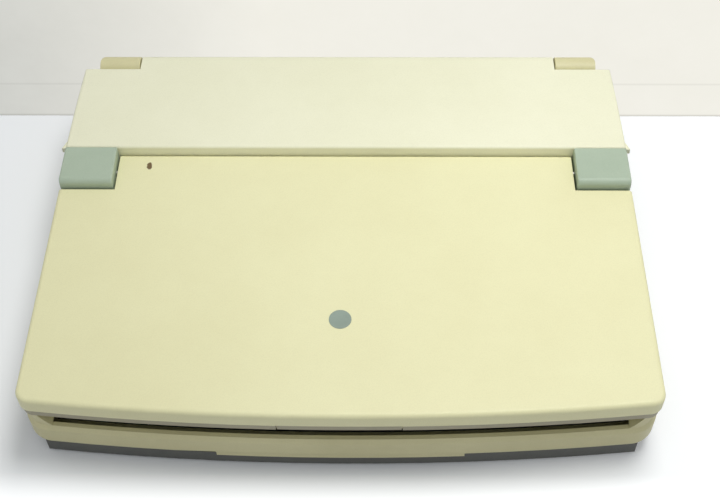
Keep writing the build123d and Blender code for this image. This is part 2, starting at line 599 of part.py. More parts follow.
def make_base_pan():
    """The dark floor pan whose edge shows as a plinth."""
    pan = slab(pan_plan(PAN_INSET), FOOT_HEIGHT + PAN_CHAMFER, CASE_BOTTOM_Z)
    pan += loft([Pos(0, 0, FOOT_HEIGHT) * pan_plan(PAN_INSET + PAN_CHAMFER),
                 Pos(0, 0, FOOT_HEIGHT + PAN_CHAMFER) * pan_plan(PAN_INSET)], ruled=True)
    pan -= slab(pan_plan(PAN_INSET + WALL), FOOT_HEIGHT + WALL, CASE_BOTTOM_Z)
    pan -= front_strip(0, TINY + CHIN_THICK + GAP, CHIN_HALF + GAP, CASE_BOTTOM_Z - CHIN_DROP - GAP)
    for x, y in case_screw_places():
        pan += bar_z(x, y, FOOT_HEIGHT + WALL, CASE_BOTTOM_Z, BOSS_RADIUS)
        pan -= bar_z(x, y, FOOT_HEIGHT, CASE_BOTTOM_Z, SCREW_RADIUS)
        pan -= bar_z(x, y, FOOT_HEIGHT, FOOT_HEIGHT + SCREW_HEAD_HEIGHT, SCREW_HEAD_RADIUS + TINY)
    for x in (BOARD_X0 + BOARD_POST_INSET, BOARD_X1 - BOARD_POST_INSET):
        for y in (BOARD_Y0 + BOARD_POST_INSET, BOARD_Y1 - BOARD_POST_INSET):
            pan += bar_z(x, y, FOOT_HEIGHT + WALL, BOARD_Z, BOSS_RADIUS)
    for x in (SUPPLY_X0 + 2 * SUPPLY_RAIL_HALF, SUPPLY_X1 - 2 * SUPPLY_RAIL_HALF):
        pan += box(x - SUPPLY_RAIL_HALF, x + SUPPLY_RAIL_HALF, SUPPLY_Y0, SUPPLY_Y1,
                   FOOT_HEIGHT + WALL, SUPPLY_Z)
    rail_inset, rail_half, rail_front = DRIVE_RAIL
    for y in (DRIVE_Y + rail_inset, DRIVE_Y1 - rail_inset):
        pan += box(DRIVE_BACK_X + rail_half, DRIVE_FRONT_X - rail_front, y - rail_half, y + rail_half,
                   FOOT_HEIGHT + WALL, DRIVE_Z)
    for x, y in chassis_post_places():
        pan += box(x - POST_HALF, x + POST_HALF, y - POST_HALF, y + POST_HALF,
                   FOOT_HEIGHT + WALL, CHASSIS_Z)
    for x, y in keyboard_post_places(-KEY_POST_SHIFT):
        pan += box(x - POST_HALF, x + POST_HALF, y - POST_HALF, y + POST_HALF,
                   FOOT_HEIGHT + WALL, KEY_BOARD_Z)
    return pan


def chassis_post_places():
    """The posts under the printer's chassis, on both sides of the power supply."""
    left = SUPPLY_X0 - 2 * POST_HALF
    right = (SUPPLY_X1 + DRIVE_BACK_X) / 2
    return [(left - POST_HALF, CHASSIS_REAR_Y), (right, CHASSIS_REAR_Y),
            (left + POST_HALF, CHASSIS_FRONT_Y), (right, CHASSIS_FRONT_Y)]


def keyboard_post_places(shift):
    """Where the keyboard is held at both ends, a little inside or outside the key well's sides."""
    ys = (WELL_Y0 + KEY_POST_INSET, (WELL_Y0 + WELL_Y1) / 2, WELL_Y1 - KEY_POST_INSET)
    return [(side * (WELL_HALF + shift), y) for side in (-1, 1) for y in ys]


def make_rubber_feet():
    """Four round feet under the pan."""
    return Compound(children=[s for x, y in pan_foot_places()
                              for s in bar_z(x, y, 0, FOOT_HEIGHT, FOOT_RADIUS).solids()])


def make_case_screws():
    """The screws through the pan, their heads sunk in it."""
    screws = []
    for x, y in case_screw_places():
        head = bar_z(x, y, FOOT_HEIGHT, FOOT_HEIGHT + SCREW_HEAD_HEIGHT, SCREW_HEAD_RADIUS)
        shank = bar_z(x, y, FOOT_HEIGHT, CASE_BOTTOM_Z + WALL, SCREW_RADIUS)
        screws += (head + shank - screw_slot(x, y, FOOT_HEIGHT, SCREW_SLOT_DEPTH)).solids()
    return Compound(children=screws)


def screw_slot(x, y, z, depth):
    """The straight slot in a screw head that faces down at z."""
    return box(x - SCREW_SLOT_LENGTH / 2, x + SCREW_SLOT_LENGTH / 2, y - SCREW_SLOT_WIDTH / 2,
               y + SCREW_SLOT_WIDTH / 2, z - CUT, z + depth)


def scoop_cutter():
    """The finger scoop: a slot under the lid's front edge with slanted ends."""
    front = LID_FRONT_Y - BASE_OVERHANG
    low = SCOOP_HALF_TOP - SCOOP_SLANT
    high = SCOOP_HALF_TOP
    bottom_z = SPLIT_Z - SCOOP_SINK
    outline = make_face(Polyline((-low, bottom_z), (low, bottom_z), (high, DECK_TOP_Z + CUT),
                                 (-high, DECK_TOP_Z + CUT), close=True).edges())
    placed = Plane(origin=(0, front - CUT, 0), x_dir=(1, 0, 0), z_dir=(0, -1, 0)) * outline
    wedge = extrude(placed, amount=bow_y(BASE_HALF, 0, BOW_RADIUS) + 2 * SCOOP_DEPTH, dir=(0, 1, 0))
    inner = slab(case_plan(SCOOP_DEPTH, BASE_CORNER), SPLIT_Z - CUT, DECK_TOP_Z + 2 * CUT)
    return wedge - inner


def make_keyboard_deck():
    """The upper case of the base: keyboard surround, lid trough and printer bay frame."""
    front = slab(case_plan(DECK_INSET, BASE_CORNER), SPLIT_Z, DECK_TOP_Z)
    front &= box(-BASE_HALF, BASE_HALF, LID_FRONT_Y - BASE_CORNER, SEAM_Y, SPLIT_Z, DECK_TOP_Z)
    rear = slab(case_plan(REAR_INSET, BASE_CORNER), SPLIT_Z, DECK_TOP_Z)
    rear &= box(-BASE_HALF, BASE_HALF, SEAM_Y - CUT, REAR_Y, SPLIT_Z, DECK_TOP_Z)
    deck = front + rear - scoop_cutter() - deck_room()
    deck += box(-TROUGH_HALF - THIN_WALL, TROUGH_HALF + THIN_WALL, TROUGH_FRONT_Y - THIN_WALL,
                SEAM_Y, TROUGH_FLOOR_Z - THIN_WALL, DECK_TOP_Z)
    deck -= box(-TROUGH_HALF, TROUGH_HALF, TROUGH_FRONT_Y, SEAM_Y - FACE_GAP, TROUGH_FLOOR_Z,
                DECK_TOP_Z + CUT)
    deck -= box(-WELL_HALF, WELL_HALF, WELL_Y0, WELL_Y1, SPLIT_Z, DECK_TOP_Z + CUT)
    deck -= box(-BAY_HALF, BAY_HALF, SEAM_Y + THIN_WALL, REAR_Y, SPLIT_Z - CUT, DECK_TOP_Z + CUT)
    deck -= box(-LATCH_HOOK_WIDTH / 2 - CUT, LATCH_HOOK_WIDTH / 2 + CUT, LATCH_HOOK_Y - CUT,
                LATCH_HOOK_Y + LATCH_HOOK_THICK + LATCH_TRAVEL + CUT, DECK_SKIN_Z - CUT,
                DECK_TOP_Z + CUT)
    return cut_for_switch(cut_for_dial(deck))


def deck_room():
    """The hollow under the deck's skin, in front of and behind the seam."""
    front = slab(case_plan(DECK_INSET + WALL, BASE_CORNER), SPLIT_Z - CUT, DECK_SKIN_Z)
    front &= box(-BASE_HALF, BASE_HALF, LID_FRONT_Y + SCOOP_DEPTH + WALL + BASE_OVERHANG,
                 SEAM_Y - THIN_WALL, SPLIT_Z - CUT, DECK_SKIN_Z)
    front &= slab(case_plan(SCOOP_DEPTH + WALL, BASE_CORNER), SPLIT_Z - CUT, DECK_SKIN_Z)
    rear = slab(case_plan(REAR_INSET + THIN_WALL, BASE_CORNER), SPLIT_Z - CUT, DECK_SKIN_Z)
    rear &= box(-BASE_HALF, BASE_HALF, SEAM_Y + THIN_WALL, REAR_Y, SPLIT_Z - CUT, DECK_SKIN_Z)
    return front + rear


def cut_for_dial(deck):
    """The deck with the thumbwheel's window and the two ears that carry its axle."""
    half = DIAL_THICK / 2 + GAP
    deck -= box(DIAL_X - half, DIAL_X + half, CONTROL_Y - DIAL_RADIUS - GAP,
                CONTROL_Y + DIAL_RADIUS + GAP, DECK_SKIN_Z - CUT, DECK_TOP_Z + CUT)
    ear = 2 * DIAL_AXLE_RADIUS
    for x in (DIAL_X - half - THIN_WALL, DIAL_X + half):
        deck += box(x, x + THIN_WALL, CONTROL_Y - ear, CONTROL_Y + ear, DIAL_Z - ear, DECK_TOP_Z - GAP)
    return deck - bar_x(DIAL_X - DIAL_AXLE_HALF - CUT, DIAL_X + DIAL_AXLE_HALF + CUT, CONTROL_Y,
                        DIAL_Z, DIAL_AXLE_RADIUS + RUNNING)


def cut_for_switch(deck):
    """The deck with the slide switch's recess and the slot for its neck."""
    end = SWITCH_X + SWITCH_LENGTH + SWITCH_TRAVEL
    deck -= box(SWITCH_X - GAP, end + GAP, CONTROL_Y - SWITCH_WIDTH / 2 - GAP,
                CONTROL_Y + SWITCH_WIDTH / 2 + GAP, DECK_TOP_Z - CUT, DECK_TOP_Z + CUT)
    return deck - box(SWITCH_X + SWITCH_NECK - GAP, end - SWITCH_NECK + GAP,
                      CONTROL_Y - SWITCH_NECK / 2 - GAP, CONTROL_Y + SWITCH_NECK / 2 + GAP,
                      DECK_SKIN_Z - CUT, DECK_TOP_Z)


# ================================================================ lid
def make_lid_shell():
    """The lid's outer shell: wide part and the narrower strip between the hinge blocks."""
    strip = slab(lid_plan(0, LID_REAR_Y), BEZEL_Z, LID_TOP_Z)
    strip &= box(-LID_STRIP_HALF, LID_STRIP_HALF, LID_SHOULDER_Y - CAP_DEPTH, LID_REAR_Y, BEZEL_Z,
                 LID_TOP_Z)
    wide = slab(lid_plan(0, LID_SHOULDER_Y), LID_SHELL_Z, LID_TOP_Z)
    rim = [e for e in wide.edges().group_by(Axis.Z)[-1] if e.center().Y < LID_SHOULDER_Y - CUT]
    wide = fillet(rim, LID_ROUND)
    rear_top = strip.edges().group_by(Axis.Z)[-1].sort_by(Axis.Y)[-1]
    strip = fillet(rear_top, LID_STRIP_ROUND)
    room_top = LID_TOP_Z - THIN_WALL
    room = slab(lid_plan(LID_WALL, LID_SHOULDER_Y - LID_WALL), BEZEL_Z, room_top)
    room += box(-LID_STRIP_HALF + LID_WALL, LID_STRIP_HALF - LID_WALL, LID_SHOULDER_Y - CAP_DEPTH,
                LID_REAR_Y - LID_WALL, BEZEL_Z + THIN_WALL, room_top)
    body = wide + strip - room
    body -= slab(lid_plan(0, LID_SHOULDER_Y), BEZEL_Z - CUT, LID_SHELL_Z)
    for side in (-1, 1):
        body = add_hinge_boss(body, side)
    for x, y in lid_screw_places():
        body += bar_z(x, y, LID_SHELL_Z, room_top, BOSS_RADIUS)
        body -= bar_z(x, y, LID_SHELL_Z - CUT, room_top - CUT, SCREW_RADIUS)
    half = LATCH_HALF + LATCH_GAP
    return body - box(-half, half, LID_FRONT_Y - CUT, LATCH_SLOT_Y + 2 * CUT, LID_SHELL_Z - CUT,
                      LID_SHELL_Z + TINY)


def add_hinge_boss(body, side):
    """The lid with the boss and the bore for one hinge pin, in the strip's end."""
    inner = LID_STRIP_HALF - HINGE_PIN_LENGTH / 2 - CUT
    low, high = sorted((side * LID_STRIP_HALF, side * inner))
    boss = bar_x(low, high, HINGE_Y, HINGE_Z, HINGE_PIN_RADIUS + THIN_WALL)
    boss &= box(low, high, HINGE_Y - BOSS_RADIUS, HINGE_Y + BOSS_RADIUS, BEZEL_Z,
                LID_TOP_Z - FACE_GAP)
    return body + boss - bar_x(low - CUT, high + CUT, HINGE_Y, HINGE_Z, HINGE_PIN_RADIUS + RUNNING)


def lid_screw_places():
    """The screws that hold the bezel in the lid."""
    side, front, rear = LID_SCREW_INSET
    x = LID_WIDTH / 2 - side
    return [(sx * x, y) for sx in (-1, 1) for y in (LID_FRONT_Y + front, LID_SHOULDER_Y - rear)]


def window_box(grow, z0, z1):
    """A block on the screen window's outline, grown by a margin."""
    w = WINDOW_WIDTH / 2 + grow
    d = WINDOW_DEPTH / 2 + grow
    return box(-w, w, WINDOW_Y - d, WINDOW_Y + d, z0, z1)


def make_lid_bezel():
    """The lid's inner frame: a plate round the screen with a hanging rim."""
    plate = slab(lid_plan(RIM_SETBACK, LID_SHOULDER_Y), BEZEL_Z, LID_SHELL_Z)
    ring = slab(lid_plan(RIM_SETBACK, LID_SHOULDER_Y), LID_RIM_Z, BEZEL_Z)
    ring -= slab(lid_plan(RIM_SETBACK + RIM_WIDTH, LID_SHOULDER_Y + CUT), LID_RIM_Z, BEZEL_Z)
    body = plate + ring
    body -= window_box(0, BEZEL_Z - CUT, LID_SHELL_Z + CUT)
    body -= window_box(WINDOW_LIP, BEZEL_Z + WINDOW_REBATE, LID_SHELL_Z + CUT)
    half = LATCH_HALF + LATCH_GAP
    body -= box(-half, half, LID_FRONT_Y - CUT, LATCH_SLOT_Y + RIM_SETBACK + GAP,
                LID_RIM_Z - CUT, LID_SHELL_Z + CUT)
    body -= box(-LATCH_HOOK_WIDTH / 2 - GAP, LATCH_HOOK_WIDTH / 2 + GAP, LID_FRONT_Y,
                LATCH_HOOK_Y + LATCH_HOOK_THICK + LATCH_TRAVEL + GAP, LID_RIM_Z - CUT,
                LID_SHELL_Z + CUT)
    for x, y in lid_screw_places():
        body -= bar_z(x, y, BEZEL_Z - CUT, LID_SHELL_Z + CUT, SCREW_RADIUS)
        body -= bar_z(x, y, BEZEL_Z - CUT, BEZEL_Z + LID_SCREW_HEAD, SCREW_HEAD_RADIUS + TINY)
    for x, y in bumper_places():
        body -= bar_z(x, y, BEZEL_Z - CUT, BEZEL_Z + BUMPER_PLUG, BUMPER_RADIUS - BUMPER_PLUG)
    return body


def make_lid_screws():
    """The bezel's screws, heads sunk in the bezel."""
    screws = []
    for x, y in lid_screw_places():
        head = bar_z(x, y, BEZEL_Z, BEZEL_Z + LID_SCREW_HEAD, SCREW_HEAD_RADIUS)
        shank = bar_z(x, y, BEZEL_Z, LID_TOP_Z - THIN_WALL - CUT - FACE_GAP, SCREW_RADIUS)
        screws += (head + shank - screw_slot(x, y, BEZEL_Z, LID_SCREW_HEAD / 2)).solids()
    return Compound(children=screws)


def bumper_places():
    """The four soft stops that the closed lid rests on."""
    x = LID_WIDTH / 2 - BUMPER_INSET_X
    return [(sx * x, y) for sx in (-1, 1) for y in (BUMPER_FRONT_Y, BUMPER_REAR_Y)]


def make_lid_bumpers():
    """Soft stops plugged into the bezel, just touching the deck."""
    pads = []
    for x, y in bumper_places():
        pad = bar_z(x, y, DECK_TOP_Z + BUMPER_GAP, BEZEL_Z, BUMPER_RADIUS)
        pad += bar_z(x, y, BEZEL_Z, BEZEL_Z + BUMPER_PLUG, BUMPER_RADIUS - BUMPER_PLUG)
        pads += pad.solids()
    return Compound(children=pads)


def make_lcd_window():
    """The clear pane in the bezel."""
    pane = window_box(-FACE_GAP, BEZEL_Z, BEZEL_Z + WINDOW_REBATE + BUMPER_GAP)
    return pane + window_box(WINDOW_LIP - FACE_GAP, BEZEL_Z + WINDOW_REBATE, LID_SHELL_Z)


def make_lcd_module():
    """The liquid-crystal panel in its metal frame, with its raised picture area."""
    body = window_box(MODULE_MARGIN, MODULE_Z, MODULE_Z + MODULE_HEIGHT)
    return body - window_box(-MODULE_FACE_MARGIN, MODULE_Z - CUT, MODULE_Z + MODULE_FACE_RECESS)


def make_lcd_driver_board():
    """The driver board behind the panel, with its row of drivers."""
    z0 = MODULE_Z + MODULE_HEIGHT
    z1 = z0 + DRIVER_HEIGHT
    board = window_box(MODULE_MARGIN - DRIVER_MARGIN, z0, z1)
    width, depth, height = DRIVER_CHIP
    y = WINDOW_Y + WINDOW_DEPTH / 4
    for i in range(DRIVER_CHIPS):
        x = -WINDOW_WIDTH / 2 + (i + 0.5) * WINDOW_WIDTH / DRIVER_CHIPS
        board += box(x - width / 2, x + width / 2, y, y + depth, z1, z1 + height)
    return board


def make_lid_latch():
    """The sliding latch: a bar in the lid's front edge with a hook behind it."""
    bow_shift = bow_y(LATCH_HALF, LID_FRONT_Y, BOW_RADIUS) - LID_FRONT_Y
    y0 = LID_FRONT_Y + RIM_SETBACK
    bar = slab(lid_plan(RIM_SETBACK, LID_SHOULDER_Y), LID_RIM_Z + LATCH_RIM_GAP, LID_SHELL_Z - TINY)
    bar &= box(-LATCH_HALF, LATCH_HALF, y0 - CUT, y0 + LATCH_THICK + bow_shift, LID_RIM_Z, LID_SHELL_Z)
    half = LATCH_HOOK_WIDTH / 2
    rear = LATCH_HOOK_Y + LATCH_HOOK_THICK
    arm = box(-half, half, y0 + CUT, rear, BEZEL_Z - LATCH_ARM_THICK, BEZEL_Z)
    nose = box(-half, half, LATCH_HOOK_Y, rear, BEZEL_Z - LATCH_HOOK_REACH, BEZEL_Z)
    return bar + arm + nose


def make_hinge_cap(side):
    """One green hinge block, hollow below, with the hole for its lid pin."""
    block = box(CAP_INNER_X, CAP_OUTER_X, CAP_FRONT_Y, CAP_REAR_Y, DECK_TOP_Z, CAP_TOP_Z)
    front_top = block.edges().filter_by(Axis.X).group_by(Axis.Z)[-1].sort_by(Axis.Y)[0]
    block = fillet(front_top, CAP_ROUND)
    rest = [e for e in block.edges().filter_by(Axis.Y).group_by(Axis.Z)[-1]]
    block = fillet(rest, CAP_SIDE_ROUND)
    block -= box(CAP_INNER_X + HINGE_PIN_LENGTH / 2 + THIN_WALL, CAP_OUTER_X - THIN_WALL,
                 CAP_FRONT_Y + THIN_WALL, CAP_REAR_Y - THIN_WALL, DECK_TOP_Z,
                 CAP_TOP_Z - 2 * THIN_WALL)
    block -= bar_x(CAP_INNER_X - CUT, CAP_INNER_X + HINGE_PIN_LENGTH / 2, HINGE_Y, HINGE_Z,
                   HINGE_PIN_RADIUS)
    return block if side > 0 else mirror(block, Plane.YZ)


def make_lid_hinge_pins():
    """The two steel pins that the lid turns on."""
    pin = bar_x(CAP_INNER_X - HINGE_PIN_LENGTH / 2, CAP_INNER_X + HINGE_PIN_LENGTH / 2, HINGE_Y, HINGE_Z,
                HINGE_PIN_RADIUS)
    return both_sides(pin)


# ================================================================ printer cover
def cover_section(rear_y):
    """The cover's outer section, from its front wall back to rear_y or round the barrel."""
    front = COVER_FRONT_Y
    base = COVER_BOTTOM_Z
    round_off = COVER_FRONT_ROUND * (1 - cos(radians(45)))
    nose = [Line((front, base), (front, COVER_FRONT_Z - COVER_FRONT_ROUND)),
            ThreePointArc((front, COVER_FRONT_Z - COVER_FRONT_ROUND),
                          (front + round_off, COVER_FRONT_Z - round_off),
                          (front + COVER_FRONT_ROUND, COVER_FRONT_Z))]
    middle = (front + BARREL_Y) / 2
    crown = ThreePointArc((front + COVER_FRONT_ROUND, COVER_FRONT_Z), (middle, COVER_CROWN_Z),
                          (BARREL_Y, COVER_REAR_Z))
    radius = BARREL_RADIUS
    barrel = ThreePointArc((BARREL_Y, COVER_REAR_Z), (BARREL_Y + radius, BARREL_Z),
                           (BARREL_Y, BARREL_Z - radius))
    foot = Polyline((BARREL_Y, BARREL_Z - radius), (COVER_LIP_Y, BARREL_Z - radius),
                    (COVER_LIP_Y, base), (front, base))
    lines = nose + [crown, barrel, foot]
    face = make_face([e for line in lines for e in line.edges()])
    if rear_y < BARREL_Y:
        top = COVER_CROWN_Z + CUT
        keep = make_face(Polyline((front - CUT, base - CUT), (rear_y, base - CUT), (rear_y, top),
                                  (front - CUT, top), close=True).edges())
        face = face & keep
    return face


def cover_room(rear_y, half):
    """The hollow under the cover's skin."""
    front = COVER_FRONT_Y + THIN_WALL
    top = COVER_FRONT_Z - THIN_WALL
    middle = (front + BARREL_Y) / 2
    crown = ThreePointArc((front, top), (middle, COVER_CROWN_Z - THIN_WALL),
                          (BARREL_Y, COVER_REAR_Z - THIN_WALL))
    inner = BARREL_RADIUS - THIN_WALL
    barrel = ThreePointArc((BARREL_Y, BARREL_Z + inner), (BARREL_Y + inner, BARREL_Z),
                           (BARREL_Y, BARREL_Z - inner))
    below = COVER_BOTTOM_Z - CUT
    rest = Polyline((BARREL_Y, BARREL_Z - inner), (COVER_LIP_Y, BARREL_Z - inner),
                    (COVER_LIP_Y, below), (front, below), (front, top))
    face = make_face([e for line in (crown, barrel, rest) for e in line.edges()])
    room = bar_profile(face, -half, half)
    return room & box(-half, half, front, rear_y, below, COVER_CROWN_Z)


def make_printer_cover():
    """The rear lid over the printer, with its hinge barrel and flared front corners."""
    mid = bar_profile(cover_section(REAR_Y), -COVER_MID_HALF, COVER_MID_HALF)
    wide = bar_profile(cover_section(WING_REAR_Y), -COVER_FRONT_HALF, COVER_FRONT_HALF)
    front = COVER_FRONT_Y
    plan = make_face(Polyline((-COVER_FRONT_HALF, front), (COVER_FRONT_HALF, front),
                              (COVER_REAR_HALF, WING_REAR_Y), (-COVER_REAR_HALF, WING_REAR_Y),
                              close=True).edges())
    wide &= slab(plan, COVER_BOTTOM_Z, COVER_CROWN_Z + CUT)
    edges = [e for e in wide.edges() if abs(e.center().X) > COVER_REAR_HALF - GAP
             and e.center().Z > COVER_FRONT_Z]
    wide = fillet(edges, COVER_FRONT_ROUND)
    root = COVER_FRONT_HALF - FLARE_ROOT
    flare = make_face(Polyline((root, front), (COVER_FRONT_HALF + FLARE_OUT, front),
                               (COVER_FRONT_HALF, front + FLARE_DEPTH), (root, front + FLARE_DEPTH),
                               close=True).edges())
    tip_z = COVER_FRONT_Z - COVER_FRONT_ROUND
    tip = slab(flare, tip_z - FLARE_HEIGHT, tip_z)
    body = wide + mid + tip + mirror(tip, Plane.YZ)
    body -= cover_room(WING_REAR_Y - THIN_WALL, COVER_REAR_HALF - THIN_WALL)
    body -= cover_room(REAR_Y, COVER_MID_HALF - THIN_WALL)
    thick, depth, height = COVER_RIB
    for i in range(COVER_RIB_COUNT):
        x = (i - (COVER_RIB_COUNT - 1) / 2) * 2 * COVER_MID_HALF / COVER_RIB_COUNT
        body += box(x - thick / 2, x + thick / 2, front + CUT, front + CUT + depth,
                    COVER_FRONT_Z - CUT - height, COVER_FRONT_Z - CUT)
    for side in (-1, 1):
        body = add_knuckle(body, side) - wing_notch(side)
    return body


def wing_notch(side):
    """The part of a wing's rear wall that would swing into the printer."""
    low, high = sorted((side * COVER_MID_HALF, side * (TAIL_HALF - THIN_WALL)))
    return box(low, high, WING_REAR_Y - THIN_WALL - CUT, WING_REAR_Y + CUT, COVER_BOTTOM_Z - CUT,
               BARREL_Z - BARREL_RADIUS / 2)


def add_knuckle(body, side):
    """The cover with the bored knuckle for one hinge pin, inside its barrel's end."""
    outer = COVER_MID_HALF - THIN_WALL
    low, high = sorted((side * (outer - KNUCKLE_LENGTH), side * outer))
    knuckle = bar_x(low, high, BARREL_Y, BARREL_Z, BARREL_RADIUS - GAP)
    reach = THIN_WALL + CUT
    bore = bar_x(low - reach, high + reach, BARREL_Y, BARREL_Z, COVER_PIN_RADIUS + RUNNING)
    return body + knuckle - bore


def make_cover_hinge_pins():
    """The two steel pins between the cover's barrel and the towers."""
    middle = (TOWER_INNER_X + COVER_MID_HALF) / 2
    pin = bar_x(middle - COVER_PIN_LENGTH / 2, middle + COVER_PIN_LENGTH / 2, BARREL_Y, BARREL_Z,
                COVER_PIN_RADIUS)
    return both_sides(pin)


# ================================================================ keyboard
def key_body(x0, units, y, depth):
    """One keycap with its stem; x0 is its left cell edge and units its width in pitches."""
    width = units * KEY_PITCH - KEY_GAP
    x = x0 + units * KEY_PITCH / 2
    cap = extrude(Pos(x, y, KEY_BOTTOM_Z) * RectangleRounded(width, depth, KEY_CORNER),
                  amount=KEY_CAP_HEIGHT, taper=KEY_TAPER, dir=(0, 0, 1))
    shrink = 2 * (KEY_SKIN + CUT)
    room_height = KEY_CAP_HEIGHT - 2 * KEY_SKIN
    room = extrude(Pos(x, y, KEY_BOTTOM_Z) * Rectangle(width - shrink, depth - shrink),
                   amount=room_height, taper=KEY_TAPER, dir=(0, 0, 1))
    side = STEM_SIDE / 2
    stem = box(x - side, x + side, y - side, y + side, KEY_BOTTOM_Z - STEM_DEPTH,
               KEY_BOTTOM_Z + room_height + CUT)
    return cap - room + stem


def row_y(row):
    """The middle of a key row, counted from the front."""
    return FRONT_ROW_Y + row * KEY_PITCH


def key_cells():
    """Every key as node name -> list of (left edge in pitches, width in pitches, row)."""
    letters = [(LETTERS_START + i, 1.0) for i in range(LETTER_COLUMNS)]
    low = [(LOW_LETTERS_START + i, 1.0, 1) for i in range(LOW_LETTERS)]
    last = KEY_COLUMNS - 1.0
    mode = [(0.0, MODE_WIDTH), (MODE_WIDTH, MODE_WIDTH), (2 * MODE_WIDTH, LETTERS_START),
            (SPACE_END, LETTERS_START), (SPACE_END + LETTERS_START, LETTERS_START),
            (SPACE_END + 2 * LETTERS_START, 1.0)]
    return {
        "number_keys": [(i, 1.0, 4) for i in range(KEY_COLUMNS - 2)],
        "backspace_key": [(last - 1.0, 2.0, 4)],
        "upper_letter_keys": [(0.0, LETTERS_START, 3)] + [(a, w, 3) for a, w in letters],
        "middle_letter_keys": [(0.0, LETTERS_START, 2)] + [(a, w, 2) for a, w in letters],
        "lower_letter_keys": low + [(last, 1.0, 1)],
        "left_shift_key": [(0.0, LOW_LETTERS_START, 1)],
        "right_shift_key": [(last - 2.0, 1.0, 1)],
        "space_bar": [(SPACE_START, SPACE_END - SPACE_START, 0)],
        "mode_keys": [(a, w, 0) for a, w in mode],
        "cursor_keys": [(last - 1.0, 1.0, 1)] + [(last - i, 1.0, 0) for i in (2, 1, 0)],
    }


def make_key_group(cells):
    """A group of ordinary keys that share one node."""
    depth = KEY_PITCH - KEY_GAP
    keys = [key_body(KEY_FIELD_X + a * KEY_PITCH, w, row_y(row), depth) for a, w, row in cells]
    return Compound(children=[s for key in keys for s in key.solids()])


def enter_cell():
    """The enter key as (left edge, width) in pitches; it ends with the keyboard."""
    start = LETTERS_START + LETTER_COLUMNS
    return start, KEY_COLUMNS - start


def enter_y():
    """The middle of the enter key, which spans two rows."""
    return (row_y(2) + row_y(3)) / 2


def make_enter_key():
    """The tall key at the right, over two rows."""
    start, width = enter_cell()
    return key_body(KEY_FIELD_X + start * KEY_PITCH, width, enter_y(), 2 * KEY_PITCH - KEY_GAP)


def function_cells():
    """The function keys as (left edge, width) in pitches, with a gap after each group."""
    spare = (FUNCTION_KEYS / FUNCTION_GROUP - 1) * FUNCTION_SPACE
    width = (KEY_COLUMNS - spare) / FUNCTION_KEYS
    return [(i * width + FUNCTION_SPACE * (i // FUNCTION_GROUP), width) for i in range(FUNCTION_KEYS)]


def make_function_keys():
    """The shallow row of function keys behind the number row."""
    keys = [key_body(KEY_FIELD_X + a * KEY_PITCH, w, FUNCTION_Y, FUNCTION_DEPTH)
            for a, w in function_cells()]
    return Compound(children=[s for key in keys for s in key.solids()])


def key_centres():
    """The middle of every key."""
    start, width = enter_cell()
    centres = [(KEY_FIELD_X + (a + w / 2) * KEY_PITCH, row_y(row))
               for cells in key_cells().values() for a, w, row in cells]
    centres += [(KEY_FIELD_X + (a + w / 2) * KEY_PITCH, FUNCTION_Y) for a, w in function_cells()]
    return centres + [(KEY_FIELD_X + (start + width / 2) * KEY_PITCH, enter_y())]


def keyboard_box(z0, z1):
    """A slab under the whole keyboard."""
    side, end = KEY_BOARD_MARGIN
    return box(-WELL_HALF - side, WELL_HALF + side, WELL_Y0 - end, WELL_Y1 + end, z0, z1)


def make_key_plate():
    """The steel plate that guides the key stems, on its feet."""
    top = KEY_PLATE_Z + KEY_PLATE_THICK
    half = (STEM_SIDE + SLACK) / 2
    holes = [box(x - half, x + half, y - half, y + half, KEY_PLATE_Z - CUT, top + CUT)
             for x, y in key_centres()]
    width, depth = PLATE_FOOT
    feet = [box(x - width / 2, x + width / 2, y - depth / 2, y + depth / 2,
                KEY_BOARD_Z + BOARD_THICK + SHEET_THICK, KEY_PLATE_Z)
            for x, y in keyboard_post_places(KEY_POST_SHIFT)]
    return keyboard_box(KEY_PLATE_Z, top) - holes + feet


def make_dome_sheet():
    """The rubber sheet with one spring dome under each key."""
    z0 = KEY_BOARD_Z + BOARD_THICK
    sheet = keyboard_box(z0, z0 + SHEET_THICK)
    domes = [bar_z(x, y, z0 + SHEET_THICK, z0 + SHEET_THICK + DOME_HEIGHT, DOME_RADIUS)
             for x, y in key_centres()]
    return sheet + domes


def make_key_circuit_board():
    """The board that carries the key contacts."""
    return keyboard_box(KEY_BOARD_Z, KEY_BOARD_Z + BOARD_THICK)


# ================================================================ controls
def make_contrast_dial():
    """A knurled thumbwheel on an axis along X, showing through the deck."""
    wheel = bar_x(DIAL_X - DIAL_THICK / 2, DIAL_X + DIAL_THICK / 2, CONTROL_Y, DIAL_Z, DIAL_RADIUS)
    turn = 2 * pi / DIAL_KNURLS
    knurls = [bar_x(DIAL_X - DIAL_THICK, DIAL_X + DIAL_THICK, CONTROL_Y + DIAL_RADIUS * cos(i * turn),
                    DIAL_Z + DIAL_RADIUS * sin(i * turn), DIAL_KNURL_RADIUS)
              for i in range(DIAL_KNURLS)]
    axle = bar_x(DIAL_X - DIAL_AXLE_HALF, DIAL_X + DIAL_AXLE_HALF, CONTROL_Y, DIAL_Z, DIAL_AXLE_RADIUS)
    return wheel - knurls + axle


